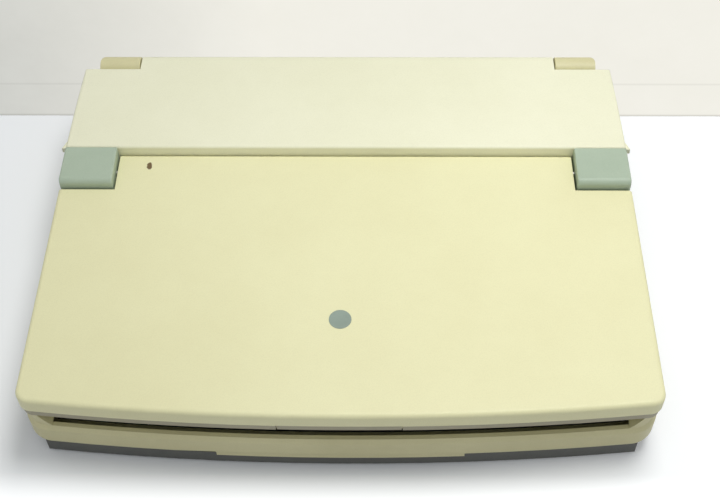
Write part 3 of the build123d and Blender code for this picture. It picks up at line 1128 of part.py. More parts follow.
def make_power_switch():
    """A slide switch's knob, resting at its left end."""
    top = DECK_TOP_Z + SWITCH_RISE
    low = DECK_TOP_Z - SWITCH_SINK
    knob = box(SWITCH_X, SWITCH_X + SWITCH_LENGTH, CONTROL_Y - SWITCH_WIDTH / 2,
               CONTROL_Y + SWITCH_WIDTH / 2, low, top)
    for i in range(SWITCH_GROOVES):
        x = SWITCH_X + (i + 1) * SWITCH_LENGTH / (SWITCH_GROOVES + 1)
        knob -= box(x - SWITCH_GROOVE / 2, x + SWITCH_GROOVE / 2, CONTROL_Y - SWITCH_WIDTH,
                    CONTROL_Y + SWITCH_WIDTH, top - SWITCH_GROOVE, top + CUT)
    neck = box(SWITCH_X + SWITCH_NECK, SWITCH_X + SWITCH_LENGTH - SWITCH_NECK,
               CONTROL_Y - SWITCH_NECK / 2, CONTROL_Y + SWITCH_NECK / 2, DECK_SKIN_Z - SWITCH_NECK, low)
    return knob + neck


# ================================================================ floppy drive
def make_floppy_drive():
    """The disk drive: a box with a front bezel, a disk slot and a button pocket."""
    x1 = DRIVE_FRONT_X - DRIVE_BEZEL
    top = DRIVE_Z + DRIVE_HEIGHT
    body = box(DRIVE_BACK_X, x1 - CUT, DRIVE_Y, DRIVE_Y1, DRIVE_Z, top)
    body += box(x1 - DRIVE_LAP, DRIVE_FRONT_X, DRIVE_Y, DRIVE_Y1, DRIVE_BEZEL_Z, top)
    middle = (DRIVE_Y + DRIVE_Y1) / 2
    half = DISK_WIDTH / 2 + DISK_SIDE_GAP
    body -= box(DRIVE_FRONT_X - SLOT_DEPTH, DRIVE_FRONT_X + CUT, middle - half, middle + half,
                DISK_SLOT_Z, DISK_SLOT_Z + SLOT_HEIGHT)
    side = BUTTON_WIDTH / 2 + TINY
    return body - box(DRIVE_FRONT_X - BUTTON_POCKET, DRIVE_FRONT_X + CUT, BUTTON_Y - side,
                      BUTTON_Y + side, BUTTON_TOP_Z - BUTTON_HEIGHT - TINY, BUTTON_TOP_Z + TINY)


def make_eject_button():
    """The drive's eject button, standing a little proud."""
    return box(DRIVE_FRONT_X - BUTTON_DEPTH, DRIVE_FRONT_X + BUTTON_RISE, BUTTON_Y - BUTTON_WIDTH / 2,
               BUTTON_Y + BUTTON_WIDTH / 2, BUTTON_TOP_Z - BUTTON_HEIGHT, BUTTON_TOP_Z)


# ================================================================ printer
def make_printer_chassis():
    """The printer's folded steel frame: floor and two side plates."""
    z0 = CHASSIS_Z
    thick = SHEET_METAL
    half = CHASSIS_HALF
    hole = PIVOT_RADIUS + RUNNING
    frame = box(-half - thick, half + thick, CHASSIS_FRONT_Y, CHASSIS_REAR_Y, z0, z0 + thick)
    for side in (-1, 1):
        x = side * (half + thick / 2)
        frame += box(x - thick / 2, x + thick / 2, CHASSIS_FRONT_Y, CHASSIS_REAR_Y, z0, CHASSIS_TOP_Z)
        frame -= bar_x(x - thick, x + thick, PLATEN_Y, PLATEN_Z, PLATEN_SHAFT_RADIUS + RUNNING)
        frame -= bar_x(x - thick, x + thick, MAIN_ROD_Y, ROD_Z, ROD_RADIUS)
        frame -= bar_x(x - thick, x + thick, GUIDE_ROD_Y, ROD_Z, ROD_RADIUS)
        ear = side * PINCH_EAR_X
        frame += box(ear - thick / 2, ear + thick / 2, PLATEN_Y - EAR_HALF, PLATEN_Y + EAR_HALF,
                     z0 + thick, PINCH_Z + PINCH_RADIUS - CUT)
        frame -= bar_x(ear - thick, ear + thick, PLATEN_Y, PINCH_Z, hole)
    frame -= box(GEAR_X - CUT, GEAR_X + GEAR_WIDTH + CUT, PINION_Y - GEAR_WINDOW, PINION_Y + GEAR_WINDOW,
                 z0 - CUT, z0 + thick + CUT)
    frame -= bar_x(-half - 2 * thick, -half + thick, PINION_Y, PINION_Z, hole)
    frame += bar_x(half, LEVER_X + LEVER_THICK + LEVER_STUD_END, LEVER_Y, LEVER_Z, PIVOT_RADIUS)
    for side in (-1, 1):
        frame -= bar_z(side * PULLEY_X, PULLEY_Y, z0 - CUT, z0 + thick + CUT, hole)
    width, depth, inset = CHASSIS_WINDOW
    y = CHASSIS_FRONT_Y + inset
    for i in range(CHASSIS_WINDOWS):
        x = (i - (CHASSIS_WINDOWS - 1) / 2) * CHASSIS_WINDOW_PITCH
        frame -= box(x - width / 2, x + width / 2, y, y + depth, z0 - CUT, z0 + thick + CUT)
    return frame


def make_platen_roller():
    """The rubber platen, sleeved on its shaft."""
    roller = bar_x(-PLATEN_HALF, PLATEN_HALF, PLATEN_Y, PLATEN_Z, PLATEN_RADIUS)
    return roller - bar_x(-PLATEN_HALF - CUT, PLATEN_HALF + CUT, PLATEN_Y, PLATEN_Z,
                          PLATEN_SHAFT_RADIUS)


def make_platen_shaft():
    """The platen's steel shaft, through both side plates."""
    return bar_x(-CHASSIS_HALF - SHEET_METAL - SHAFT_END,
                 CHASSIS_HALF + SHEET_METAL + KNOB_GAP + KNOB_LENGTH, PLATEN_Y, PLATEN_Z,
                 PLATEN_SHAFT_RADIUS)


def spur_gear(teeth, y, z, bore, turn):
    """A spur gear on an axis along X."""
    blank = bar_profile(Pos(y, z) * Rot(0, 0, turn) * gear_outline(teeth, GEAR_MODULE),
                        GEAR_X, GEAR_X + GEAR_WIDTH)
    return blank - bar_x(GEAR_X - CUT, GEAR_X + GEAR_WIDTH + CUT, y, z, bore)


def make_platen_gear():
    """The large feed gear, with one tooth pointing at the pinion."""
    return spur_gear(PLATEN_TEETH, PLATEN_Y, PLATEN_Z, PLATEN_SHAFT_RADIUS, -PINION_ANGLE)


def make_feed_pinion():
    """The feed motor's pinion on its shaft, with one space facing the large gear."""
    turn = 180 - PINION_ANGLE + 180 / PINION_TEETH
    outline = Pos(PINION_Y, PINION_Z) * Rot(0, 0, turn) * gear_outline(PINION_TEETH, GEAR_MODULE)
    pinion = bar_profile(outline, GEAR_X, GEAR_X + GEAR_WIDTH)
    return pinion + bar_x(-CHASSIS_HALF - SHEET_METAL - PINION_SHAFT_END, GEAR_X + GEAR_WIDTH,
                          PINION_Y, PINION_Z, PIVOT_RADIUS)


def make_feed_motor():
    """The paper-feed motor, on the left side plate's outer face."""
    x1 = -CHASSIS_HALF - SHEET_METAL
    can = bar_x(x1 - FEED_MOTOR_LENGTH, x1, PINION_Y, PINION_Z, FEED_MOTOR_RADIUS)
    return can - bar_x(x1 - FEED_SHAFT_HOLE, x1 + CUT, PINION_Y, PINION_Z, PIVOT_RADIUS + RUNNING)


def make_feed_knob():
    """The fluted hand knob on the platen shaft's right end."""
    x0 = CHASSIS_HALF + SHEET_METAL + KNOB_GAP
    x1 = x0 + KNOB_LENGTH
    knob = bar_x(x0, x1, PLATEN_Y, PLATEN_Z, KNOB_RADIUS)
    turn = 2 * pi / KNOB_FLUTES
    flutes = [bar_x(x0 - CUT, x1 + CUT, PLATEN_Y + KNOB_RADIUS * cos(i * turn),
                    PLATEN_Z + KNOB_RADIUS * sin(i * turn), KNOB_FLUTE_RADIUS)
              for i in range(KNOB_FLUTES)]
    return knob - flutes - bar_x(x0 - CUT, x1 + CUT, PLATEN_Y, PLATEN_Z, PLATEN_SHAFT_RADIUS)


def make_pinch_rollers():
    """The pinch rollers on their shaft, just under the platen."""
    half = PINCH_EAR_X + SHEET_METAL
    pinch = bar_x(-half, half, PLATEN_Y, PINCH_Z, PIVOT_RADIUS)
    for i in range(PINCH_COUNT):
        x = (i - (PINCH_COUNT - 1) / 2) * PINCH_PITCH
        pinch += bar_x(x - PINCH_LENGTH / 2, x + PINCH_LENGTH / 2, PLATEN_Y, PINCH_Z, PINCH_RADIUS)
    return pinch


def make_release_lever():
    """The paper release lever, pivoted on the right side plate."""
    x0, x1 = LEVER_X, LEVER_X + LEVER_THICK
    half = LEVER_WIDTH / 2
    arm = box(x0, x1, LEVER_Y - half, LEVER_Y + half, LEVER_Z, LEVER_Z + LEVER_LENGTH)
    arm += bar_x(x0, x1, LEVER_Y, LEVER_Z, half + GAP)
    arm += bar_x(x0, x1, LEVER_Y, LEVER_Z + LEVER_LENGTH, half)
    return arm - bar_x(x0 - CUT, x1 + CUT, LEVER_Y, LEVER_Z, PIVOT_RADIUS + RUNNING)


def make_carriage_rods():
    """The two steel rods that the carriage slides on."""
    half = CHASSIS_HALF + SHEET_METAL
    return Compound(children=[s for y in (MAIN_ROD_Y, GUIDE_ROD_Y)
                              for s in bar_x(-half, half, y, ROD_Z, ROD_RADIUS).solids()])


def make_print_carriage():
    """The carriage: two bored sleeves joined by a bridge."""
    x0 = CARRIAGE_REST_X - CARRIAGE_LENGTH / 2
    x1 = x0 + CARRIAGE_LENGTH
    low = ROD_Z - ROD_RADIUS - CARRIAGE_SKIRT
    sleeves = ((MAIN_ROD_Y, ROD_RADIUS + MAIN_SLEEVE_WALL), (GUIDE_ROD_Y, ROD_RADIUS + GUIDE_SLEEVE_WALL))
    body = box(x0, x1, GUIDE_ROD_Y, MAIN_ROD_Y, ROD_Z + ROD_RADIUS - BRIDGE_GAP, CARRIAGE_TOP_Z)
    for y, half in sleeves:
        body += box(x0, x1, y - half, y + half, low, CARRIAGE_TOP_Z)
    for y, half in sleeves:
        body -= bar_x(x0 - CUT, x1 + CUT, y, ROD_Z, ROD_RADIUS + RUNNING)
    return body


def make_thermal_head():
    """The thermal head on its heat sink, standing on the carriage."""
    x0 = CARRIAGE_REST_X - HEAD_WIDTH / 2
    x1 = x0 + HEAD_WIDTH
    z0 = CARRIAGE_TOP_Z
    block = box(x0, x1, HEAD_Y - HEAD_THICK, HEAD_Y, z0, z0 + HEAD_HEIGHT)
    return block + box(x0, x1, MAIN_ROD_Y + HEAD_FOOT_INSET, HEAD_Y, z0, z0 + HEAD_FOOT)


def make_ribbon_cassette():
    """The ribbon cassette on the carriage, just in front of the head."""
    x = CARRIAGE_REST_X
    z0 = CARRIAGE_TOP_Z + HEAD_FOOT + CASSETTE_FOOT_GAP
    z1 = z0 + CASSETTE_HEIGHT
    y1 = HEAD_Y - HEAD_THICK - CASSETTE_HEAD_GAP
    y0 = y1 - CASSETTE_DEPTH
    half = CASSETTE_LENGTH / 2
    case = box(x - half, x + half, y0, y1, z0, z1)
    case = fillet(case.edges().filter_by(Axis.Z), CASSETTE_CORNER)
    for side in (-1, 1):
        case -= bar_z(x + side * half / 2, (y0 + y1) / 2, z0 - CUT, z1 + CUT, CASSETTE_HUB_RADIUS)
    return case + box(x - CASSETTE_FOOT_HALF, x + CASSETTE_FOOT_HALF, y0 + MAIN_SLEEVE_WALL,
                      MAIN_ROD_Y - CUT, CARRIAGE_TOP_Z, z0)


def make_carriage_belt():
    """The toothed belt, a closed loop round both pulleys."""
    r0 = PULLEY_RADIUS + TINY
    r1 = r0 + BELT_THICK
    outer = SlotCenterToCenter(2 * PULLEY_X, 2 * r1)
    inner = SlotCenterToCenter(2 * PULLEY_X, 2 * r0)
    z0 = PULLEY_Z + BELT_SIDE_GAP
    return slab(Pos(0, PULLEY_Y) * (outer - inner), z0, z0 + BELT_WIDTH)


def make_pulley(side):
    """One belt pulley on an upright spindle."""
    x = side * PULLEY_X
    top = PULLEY_Z + BELT_WIDTH + 2 * BELT_SIDE_GAP
    wheel = bar_z(x, PULLEY_Y, PULLEY_Z, top, PULLEY_RADIUS)
    turn = 2 * pi / PULLEY_TEETH
    grooves = [bar_z(x + PULLEY_RADIUS * cos(i * turn), PULLEY_Y + PULLEY_RADIUS * sin(i * turn),
                     PULLEY_Z - CUT, top + CUT, PULLEY_GROOVE_RADIUS) for i in range(PULLEY_TEETH)]
    low = CHASSIS_Z - THIN_WALL if side < 0 else CHASSIS_Z
    return wheel - grooves + bar_z(x, PULLEY_Y, low, top + CUT, PIVOT_RADIUS)


def make_carriage_motor():
    """The carriage motor, hung under the chassis floor."""
    x = -PULLEY_X
    z1 = CHASSIS_Z
    can = bar_z(x, PULLEY_Y, z1 - CARRIAGE_MOTOR_HEIGHT, z1, CARRIAGE_MOTOR_RADIUS)
    return can - bar_z(x, PULLEY_Y, z1 - MOTOR_SHAFT_HOLE, z1 + CUT, PIVOT_RADIUS + RUNNING)


# ================================================================ electronics
def make_main_board():
    """The main circuit board on the pan's posts."""
    return box(BOARD_X0, BOARD_X1, BOARD_Y0, BOARD_Y1, BOARD_Z, BOARD_TOP_Z)


def make_board_chips():
    """The packages soldered on the main board, in rows, every third one large."""
    first_x, first_y = CHIP_FIRST
    large, small, half = CHIP_HALVES
    chips = []
    for row in range(CHIP_ROWS):
        for column in range(CHIP_COLUMNS):
            x = BOARD_X0 + first_x + column * CHIP_PITCH
            y = BOARD_Y0 + first_y + row * CHIP_PITCH
            size = large if (row + column) % 3 == 0 else small
            chips += box(x - size, x + size, y - half, y + half, BOARD_TOP_Z,
                         BOARD_TOP_Z + CHIP_HEIGHT).solids()
    return Compound(children=chips)


def make_backup_battery():
    """The back-up battery lying in its cradle on the main board."""
    x1 = BOARD_X1 - CELL_INSET[0]
    y = BOARD_Y1 - CELL_INSET[1]
    cell = bar_x(x1 - CELL_LENGTH, x1, y, BOARD_TOP_Z + CELL_RADIUS + CELL_LIFT, CELL_RADIUS)
    return cell + box(x1 - CELL_LENGTH + CRADLE_INSET, x1 - CRADLE_INSET, y - CRADLE_HALF,
                      y + CRADLE_HALF, BOARD_TOP_Z, BOARD_TOP_Z + CRADLE_HEIGHT)


def make_power_supply():
    """The power supply in its vented can."""
    z1 = SUPPLY_Z + SUPPLY_HEIGHT
    can = box(SUPPLY_X0, SUPPLY_X1, SUPPLY_Y0, SUPPLY_Y1, SUPPLY_Z, z1)
    width, pitch, margin = SUPPLY_SLOT
    for i in range(SUPPLY_SLOTS):
        x = SUPPLY_X0 + margin + i * pitch
        can -= box(x, x + width, SUPPLY_Y0 + margin, SUPPLY_Y1 - margin, z1 - CUT, z1 + CUT)
    return can


def make_power_inlet():
    """The recessed mains socket with its two pins."""
    x0, x1 = INLET_X - INLET_WIDTH / 2, INLET_X + INLET_WIDTH / 2
    y1 = REAR_Y - CASE_CHAMFER_IN
    z1 = INLET_Z + INLET_HEIGHT
    floor_y = y1 - INLET_MOUTH_DEPTH
    body = box(x0, x1, y1 - INLET_DEPTH, y1, INLET_Z, z1)
    body -= box(x0 + INLET_RIM, x1 - INLET_RIM, floor_y, y1 + CUT, INLET_Z + INLET_RIM, z1 - INLET_RIM)
    for side in (-1, 1):
        middle = Pos(INLET_X + side * INLET_PIN_SPACING / 2, floor_y + INLET_PIN_REACH,
                     INLET_Z + INLET_HEIGHT / 2)
        body += middle * Rot(90, 0, 0) * Cylinder(INLET_PIN_RADIUS, INLET_PIN_LENGTH)
    return body


def make_flat_cables():
    """The ribbon cables inside the base, one to the keyboard and one to the printer."""
    thick = CABLE_THICK
    x0, x1 = KEY_CABLE_X
    rear = WELL_Y1 + KEY_BOARD_MARGIN[1] + 3 * thick
    keys = box(x0, x1, rear - thick, rear, BOARD_TOP_Z, KEY_BOARD_Z + BOARD_THICK)
    keys += box(x0, x1, WELL_Y1 - CABLE_LAP, rear, KEY_BOARD_Z - thick, KEY_BOARD_Z)
    x0, x1 = PRINTER_CABLE_X
    front = BOARD_Y1 - CABLE_LAP
    printer = box(x0, x1, front, front + thick, BOARD_TOP_Z, CHASSIS_Z - thick / 2)
    printer += box(x0, x1, front, CHASSIS_FRONT_Y + CABLE_LAP + THIN_WALL, CHASSIS_Z - thick, CHASSIS_Z)
    return Compound(children=keys.solids() + printer.solids())


# ================================================================ all the nodes
def all_nodes():
    """Every piece under its own name."""
    nodes = {
        "lower_case": make_lower_case(),
        "base_pan": make_base_pan(),
        "rubber_feet": make_rubber_feet(),
        "case_screws": make_case_screws(),
        "keyboard_deck": make_keyboard_deck(),
        "lid_shell": make_lid_shell(),
        "lid_bezel": make_lid_bezel(),
        "lid_screws": make_lid_screws(),
        "lid_bumpers": make_lid_bumpers(),
        "lcd_window": make_lcd_window(),
        "lcd_module": make_lcd_module(),
        "lcd_driver_board": make_lcd_driver_board(),
        "lid_latch": make_lid_latch(),
        "hinge_cap_left": make_hinge_cap(-1),
        "hinge_cap_right": make_hinge_cap(1),
        "lid_hinge_pins": make_lid_hinge_pins(),
        "printer_cover": make_printer_cover(),
        "cover_hinge_pins": make_cover_hinge_pins(),
        "enter_key": make_enter_key(),
        "function_keys": make_function_keys(),
        "key_plate": make_key_plate(),
        "dome_sheet": make_dome_sheet(),
        "key_circuit_board": make_key_circuit_board(),
        "contrast_dial": make_contrast_dial(),
        "power_switch": make_power_switch(),
        "floppy_drive": make_floppy_drive(),
        "eject_button": make_eject_button(),
        "printer_chassis": make_printer_chassis(),
        "platen_roller": make_platen_roller(),
        "platen_shaft": make_platen_shaft(),
        "platen_gear": make_platen_gear(),
        "feed_pinion": make_feed_pinion(),
        "feed_motor": make_feed_motor(),
        "feed_knob": make_feed_knob(),
        "pinch_rollers": make_pinch_rollers(),
        "release_lever": make_release_lever(),
        "carriage_rods": make_carriage_rods(),
        "print_carriage": make_print_carriage(),
        "thermal_head": make_thermal_head(),
        "ribbon_cassette": make_ribbon_cassette(),
        "carriage_belt": make_carriage_belt(),
        "drive_pulley": make_pulley(-1),
        "idler_pulley": make_pulley(1),
        "carriage_motor": make_carriage_motor(),
        "main_board": make_main_board(),
        "board_chips": make_board_chips(),
        "backup_battery": make_backup_battery(),
        "power_supply": make_power_supply(),
        "power_inlet": make_power_inlet(),
        "flat_cables": make_flat_cables(),
    }
    for name, cells in key_cells().items():
        nodes[name] = make_key_group(cells)
    return nodes


for node_name, node in all_nodes().items():
    export_step(node, os.path.join("parts", node_name + ".step"))
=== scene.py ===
import logging
from dataclasses import dataclass, field
from enum import Enum
from math import cos, pi, radians, sin
from typing import Iterable

import bmesh
import bpy
from mathutils import Matrix, Vector


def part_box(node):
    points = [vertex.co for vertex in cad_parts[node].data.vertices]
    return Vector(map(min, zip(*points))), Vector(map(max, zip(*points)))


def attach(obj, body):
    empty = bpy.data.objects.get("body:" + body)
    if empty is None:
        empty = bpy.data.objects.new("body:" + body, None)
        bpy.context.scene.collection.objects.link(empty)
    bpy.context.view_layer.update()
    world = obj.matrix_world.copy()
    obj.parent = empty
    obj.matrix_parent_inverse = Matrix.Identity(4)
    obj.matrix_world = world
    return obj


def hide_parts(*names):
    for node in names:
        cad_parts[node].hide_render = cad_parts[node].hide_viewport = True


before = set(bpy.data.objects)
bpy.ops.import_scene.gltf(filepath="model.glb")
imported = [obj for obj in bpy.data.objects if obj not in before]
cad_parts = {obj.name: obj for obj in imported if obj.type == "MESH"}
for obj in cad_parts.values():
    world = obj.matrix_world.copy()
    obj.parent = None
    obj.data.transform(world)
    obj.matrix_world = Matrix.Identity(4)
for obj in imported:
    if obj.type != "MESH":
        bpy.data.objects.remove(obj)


log = logging.getLogger("word_processor")
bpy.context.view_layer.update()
NODES: dict[str, bpy.types.Object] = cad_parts
MM = 0.001
LEVEL = 1e-6                      # heights nearer than this, in metres, are the same
SAME = 1e-7                       # points nearer than this are one
OVER = 0.0003                     # a face's middle is over a point when it is nearer than this
ACRYLIC_IOR = 1.49
OWN_FINISH = {"power_inlet": "inlet_socket", "key_plate": "black_plate"}

Colour = tuple[float, float, float]
Place = tuple[float, float, float]
Span = tuple[float, float]
Shape = bmesh.types.BMesh
Socket = bpy.types.NodeSocket


def linear(red: int, green: int, blue: int) -> Colour:
    """A colour given as a screen shows it, 0 to 255, as the shaders need it."""
    parts = [v / 255 for v in (red, green, blue)]
    return tuple(p / 12.92 if p <= 0.04045 else ((p + 0.055) / 1.055) ** 2.4 for p in parts)


def shaded(colour: Colour, factor: float) -> Colour:
    """A colour made darker or lighter by a factor."""
    return tuple(min(1.0, factor * c) for c in colour)


# Node trees.
class Effect(Enum):
    """The effects that the finishes share."""

    SOFT_EDGES = "soft_edges"
    MOTTLE = "mottle"
    GRAIN = "grain"
    SCUFFS = "scuffs"
    DUST = "dust"
    BRUSHED = "brushed"


EFFECTS: dict[Effect, bpy.types.NodeTree] = {}


class Graph:
    """Adds and joins the nodes of one shader tree."""

    def __init__(self, tree: bpy.types.NodeTree) -> None:
        """Keeps the tree that the nodes go into."""
        self.tree = tree

    def join(self, value: object, socket: Socket) -> None:
        """Links a socket, or writes a plain value to it.

        Args:
            value: Another node's output, or a number, colour or vector.
            socket: The input that takes it.
        """
        if isinstance(value, Socket):
            self.tree.links.new(value, socket)
        elif socket.type == "RGBA" and len(value) == 3:
            socket.default_value = (*value, 1.0)
        else:
            socket.default_value = value

    def add(self, kind: str, inputs: dict | None = None, **settings: object) -> bpy.types.Node:
        """One new node.

        Args:
            kind: The node's type, without its common beginning.
            inputs: Values or outputs for its sockets, by name or number.
            settings: Its other settings.

        Returns:
            The node.
        """
        node = self.tree.nodes.new("ShaderNode" + kind)
        for name, value in settings.items():
            setattr(node, name, value)
        for key, value in (inputs or {}).items():
            self.join(value, node.inputs[key])
        return node

    def math(self, operation: str, a: object, b: object = 0.0) -> Socket:
        """The result of one sum of one or two numbers."""
        return self.add("Math", {0: a, 1: b}, operation=operation).outputs[0]

    def plus(self, a: object, b: object) -> Socket:
        """Two numbers added."""
        return self.math("ADD", a, b)

    def less(self, a: object, b: object) -> Socket:
        """The first number less the second."""
        return self.math("SUBTRACT", a, b)

    def times(self, a: object, b: object) -> Socket:
        """Two numbers multiplied."""
        return self.math("MULTIPLY", a, b)

    def apart(self, a: object, b: object) -> Socket:
        """How far apart two numbers are."""
        return self.math("ABSOLUTE", self.less(a, b))

    def ramp(self, value: object, low: float, high: float, to_low: float = 0.0,
             to_high: float = 1.0) -> Socket:
        """A number moved from the range low to high into another range, and kept inside it."""
        inputs = {0: value, 1: low, 2: high, 3: to_low, 4: to_high}
        return self.add("MapRange", inputs, clamp=True).outputs[0]

    def mix(self, share: object, first: object, second: object) -> Socket:
        """Two colours mixed, with the given share of the second."""
        inputs = {0: share, 6: first, 7: second}
        return self.add("Mix", inputs, data_type="RGBA", clamp_result=True).outputs[2]

    def coords(self) -> Socket:
        """Where a point lies on the machine, in metres."""
        return self.add("TexCoord").outputs["Object"]

    def axes(self) -> bpy.types.NodeOutputs:
        """Where a point lies along X, Y and Z, in metres."""
        return self.add("SeparateXYZ", {0: self.coords()}).outputs

    def noise(self, place: object, scale: object, detail: float = 2.0,
              roughness: float = 0.5) -> Socket:
        """A cloudy number from 0 to 1, with its scale in waves in a metre."""
        inputs = {"Vector": place, "Scale": scale, "Detail": detail, "Roughness": roughness}
        return self.add("TexNoise", inputs).outputs[0]

    def stretch(self, place: object, factors: Place) -> Socket:
        """A place scaled by its own factor on each axis."""
        return self.add("VectorMath", {0: place, 1: factors}, operation="MULTIPLY").outputs[0]

    def effect(self, effect: Effect, **inputs: object) -> bpy.types.NodeOutputs:
        """The outputs of one shared effect, with its own values."""
        return self.add("Group", inputs, node_tree=EFFECTS[effect]).outputs

    def mottle(self, size: float) -> Socket:
        """Slow changes of shade of the given size, in metres."""
        return self.effect(Effect.MOTTLE, Size=size)["Shade"]

    def soft_edges(self, radius: float) -> bpy.types.NodeOutputs:
        """Softened edges of the given radius, in metres."""
        return self.effect(Effect.SOFT_EDGES, Radius=radius)

    def bump(self, height: object, depth: float, over: Socket | None = None) -> Socket:
        """A surface raised by a height of the given depth, in metres, over another."""
        inputs = {"Height": height, "Distance": depth} | ({"Normal": over} if over else {})
        return self.add("Bump", inputs).outputs[0]


class MaterialGraph(Graph):
    """The graph of one new material, with its main shader and its output."""

    def __init__(self, name: str) -> None:
        """Makes a bare material.

        Args:
            name: The material's name.
        """
        self.material = bpy.data.materials.new(name)
        self.material.use_nodes = True
        self.material.node_tree.nodes.clear()
        super().__init__(self.material.node_tree)
        self.shader = self.add("BsdfPrincipled")
        self.out = self.add("OutputMaterial", {"Surface": self.shader.outputs[0]})
        self.out.is_active_output = True

    def surface(self, values: dict[str, object]) -> None:
        """Joins outputs or plain values to the main shader's sockets, by their names."""
        for name, value in values.items():
            self.join(value, self.shader.inputs[name])


def new_group(effect: Effect, inputs: dict[str, float], outputs: dict[str, str]
              ) -> tuple[Graph, bpy.types.NodeOutputs, bpy.types.NodeInputs]:
    """An empty group for one shared effect.

    Args:
        effect: Which effect it is.
        inputs: Its number sockets and their first values.
        outputs: Its outputs and their kinds.

    Returns:
        The graph, what the group is given and what it gives back.
    """
    tree = bpy.data.node_groups.new(effect.value, "ShaderNodeTree")
    for name, value in inputs.items():
        socket = tree.interface.new_socket(name, in_out="INPUT", socket_type="NodeSocketFloat")
        socket.default_value = value
    for name, kind in outputs.items():
        tree.interface.new_socket(name, in_out="OUTPUT", socket_type="NodeSocket" + kind)
    EFFECTS[effect] = tree
    given, back = tree.nodes.new("NodeGroupInput"), tree.nodes.new("NodeGroupOutput")
    return Graph(tree), given.outputs, back.inputs


def build_soft_edges() -> None:
    """Rounds sharp edges for the light, and finds them for the wear."""
    g, given, back = new_group(Effect.SOFT_EDGES, {"Radius": 0.0004, "Breakup": 0.5},
                               {"Normal": "Vector", "Edge": "Float"})
    bevel = g.add("Bevel", {"Radius": given["Radius"]}, samples=6).outputs[0]
    flat = g.add("NewGeometry").outputs["Normal"]
    dot = g.add("VectorMath", {0: bevel, 1: flat}, operation="DOT_PRODUCT").outputs[1]
    cloud = g.ramp(g.noise(g.coords(), 160.0, 3.0), 0.35, 0.65)
    kept = g.less(1.0, g.times(cloud, given["Breakup"]))
    g.join(bevel, back["Normal"])
    g.join(g.times(g.ramp(dot, 0.995, 0.86), kept), back["Edge"])


def build_mottle() -> None:
    """Slow changes of shade over a surface, with finer ones on them."""
    g, given, back = new_group(Effect.MOTTLE, {"Size": 0.06}, {"Shade": "Float"})
    scale = g.math("DIVIDE", 1.0, given["Size"])
    slow = g.noise(g.coords(), scale, 3.0, 0.55)
    fine = g.noise(g.coords(), g.times(scale, 9.0), 2.0)
    g.join(g.ramp(g.plus(g.times(slow, 0.8), g.times(fine, 0.2)), 0.32, 0.68), back["Shade"])


def build_grain() -> None:
    """The fine texture that a spark-worn mould leaves on plastic."""
    g, given, back = new_group(Effect.GRAIN, {"Pitch": 0.0006},
                               {"Height": "Float", "Pits": "Float"})
    scale = g.math("DIVIDE", 1.0, given["Pitch"])
    place = g.coords()
    bumps = g.noise(place, scale, 2.0, 0.6)
    cells = g.add("TexVoronoi", {"Vector": place, "Scale": scale}).outputs[0]
    mixed = g.plus(g.times(bumps, 0.6), g.times(cells, 0.4))
    g.join(mixed, back["Height"])
    g.join(g.ramp(mixed, 0.45, 0.62), back["Pits"])


def build_scuffs() -> None:
    """Fine rubbed lines in two directions, in patches."""
    g, given, back = new_group(Effect.SCUFFS, {"Amount": 0.5}, {"Mask": "Float"})
    place = g.coords()
    first, second = (g.ramp(g.apart(g.noise(g.stretch(place, factors), 40.0, 1.0), 0.5), 0.012, 0.0)
                     for factors in ((1.0, 14.0, 6.0), (11.0, 1.6, 5.0)))
    patches = g.ramp(g.noise(place, 22.0, 1.0), 0.52, 0.7)
    shown = g.times(g.math("MAXIMUM", first, second), patches)
    g.join(g.times(shown, given["Amount"]), back["Mask"])


def build_dust() -> None:
    """Dust on what faces up."""
    g, given, back = new_group(Effect.DUST, {"Amount": 0.3}, {"Mask": "Float"})
    up = g.add("SeparateXYZ", {0: g.add("NewGeometry").outputs["Normal"]}).outputs[2]
    cloud = g.ramp(g.noise(g.coords(), 45.0, 4.0, 0.7), 0.4, 0.75)
    g.join(g.times(g.times(g.ramp(up, 0.5, 1.0), cloud), given["Amount"]), back["Mask"])


def build_brushed() -> None:
    """Long fine lines along X, as rolling or grinding leaves them."""
    g, given, back = new_group(Effect.BRUSHED, {"Pitch": 0.0003}, {"Height": "Float"})
    scale = g.math("DIVIDE", 1.0, given["Pitch"])
    g.join(g.noise(g.stretch(g.coords(), (0.02, 1.0, 1.0)), scale, 3.0), back["Height"])


def build_effects() -> None:
    """Builds each shared effect once."""
    for build in (build_soft_edges, build_mottle, build_grain, build_scuffs, build_dust,
                  build_brushed):
        build()


# Finishes.
@dataclass(frozen=True)
class Finish:
    """One finish of the machine, which becomes a material of its name.

    In every finish radii, pitches, depths and places are in metres, and shares from 0 to 1.
    """

    name: str

    def build(self) -> bpy.types.Material:
        """Makes the finish's material.

        Returns:
            The material.
        """
        g = MaterialGraph(self.name)
        self.dress(g)
        return g.material

    def dress(self, g: MaterialGraph) -> None:
        """Joins the finish's nodes to the main shader of a graph."""
        raise NotImplementedError(self.name)


@dataclass(frozen=True)
class Mark:
    """A small chipped spot at one place of a surface."""

    place: Span
    half: Span
    colour: Colour

    def mask(self, g: Graph) -> Socket:
        """Where the spot is.

        Args:
            g: The graph that it goes into.

        Returns:
            A mask, 1 inside the spot.
        """
        where = g.axes()
        across, along = (
            g.math("POWER", g.math("DIVIDE", g.less(where[i], self.place[i]), self.half[i]), 2.0)
            for i in (0, 1))
        ragged = g.ramp(g.noise(g.coords(), 900.0, 2.0), 0.2, 0.8, -0.5, 0.5)
        return g.ramp(g.plus(g.plus(across, along), ragged), 1.1, 0.8)


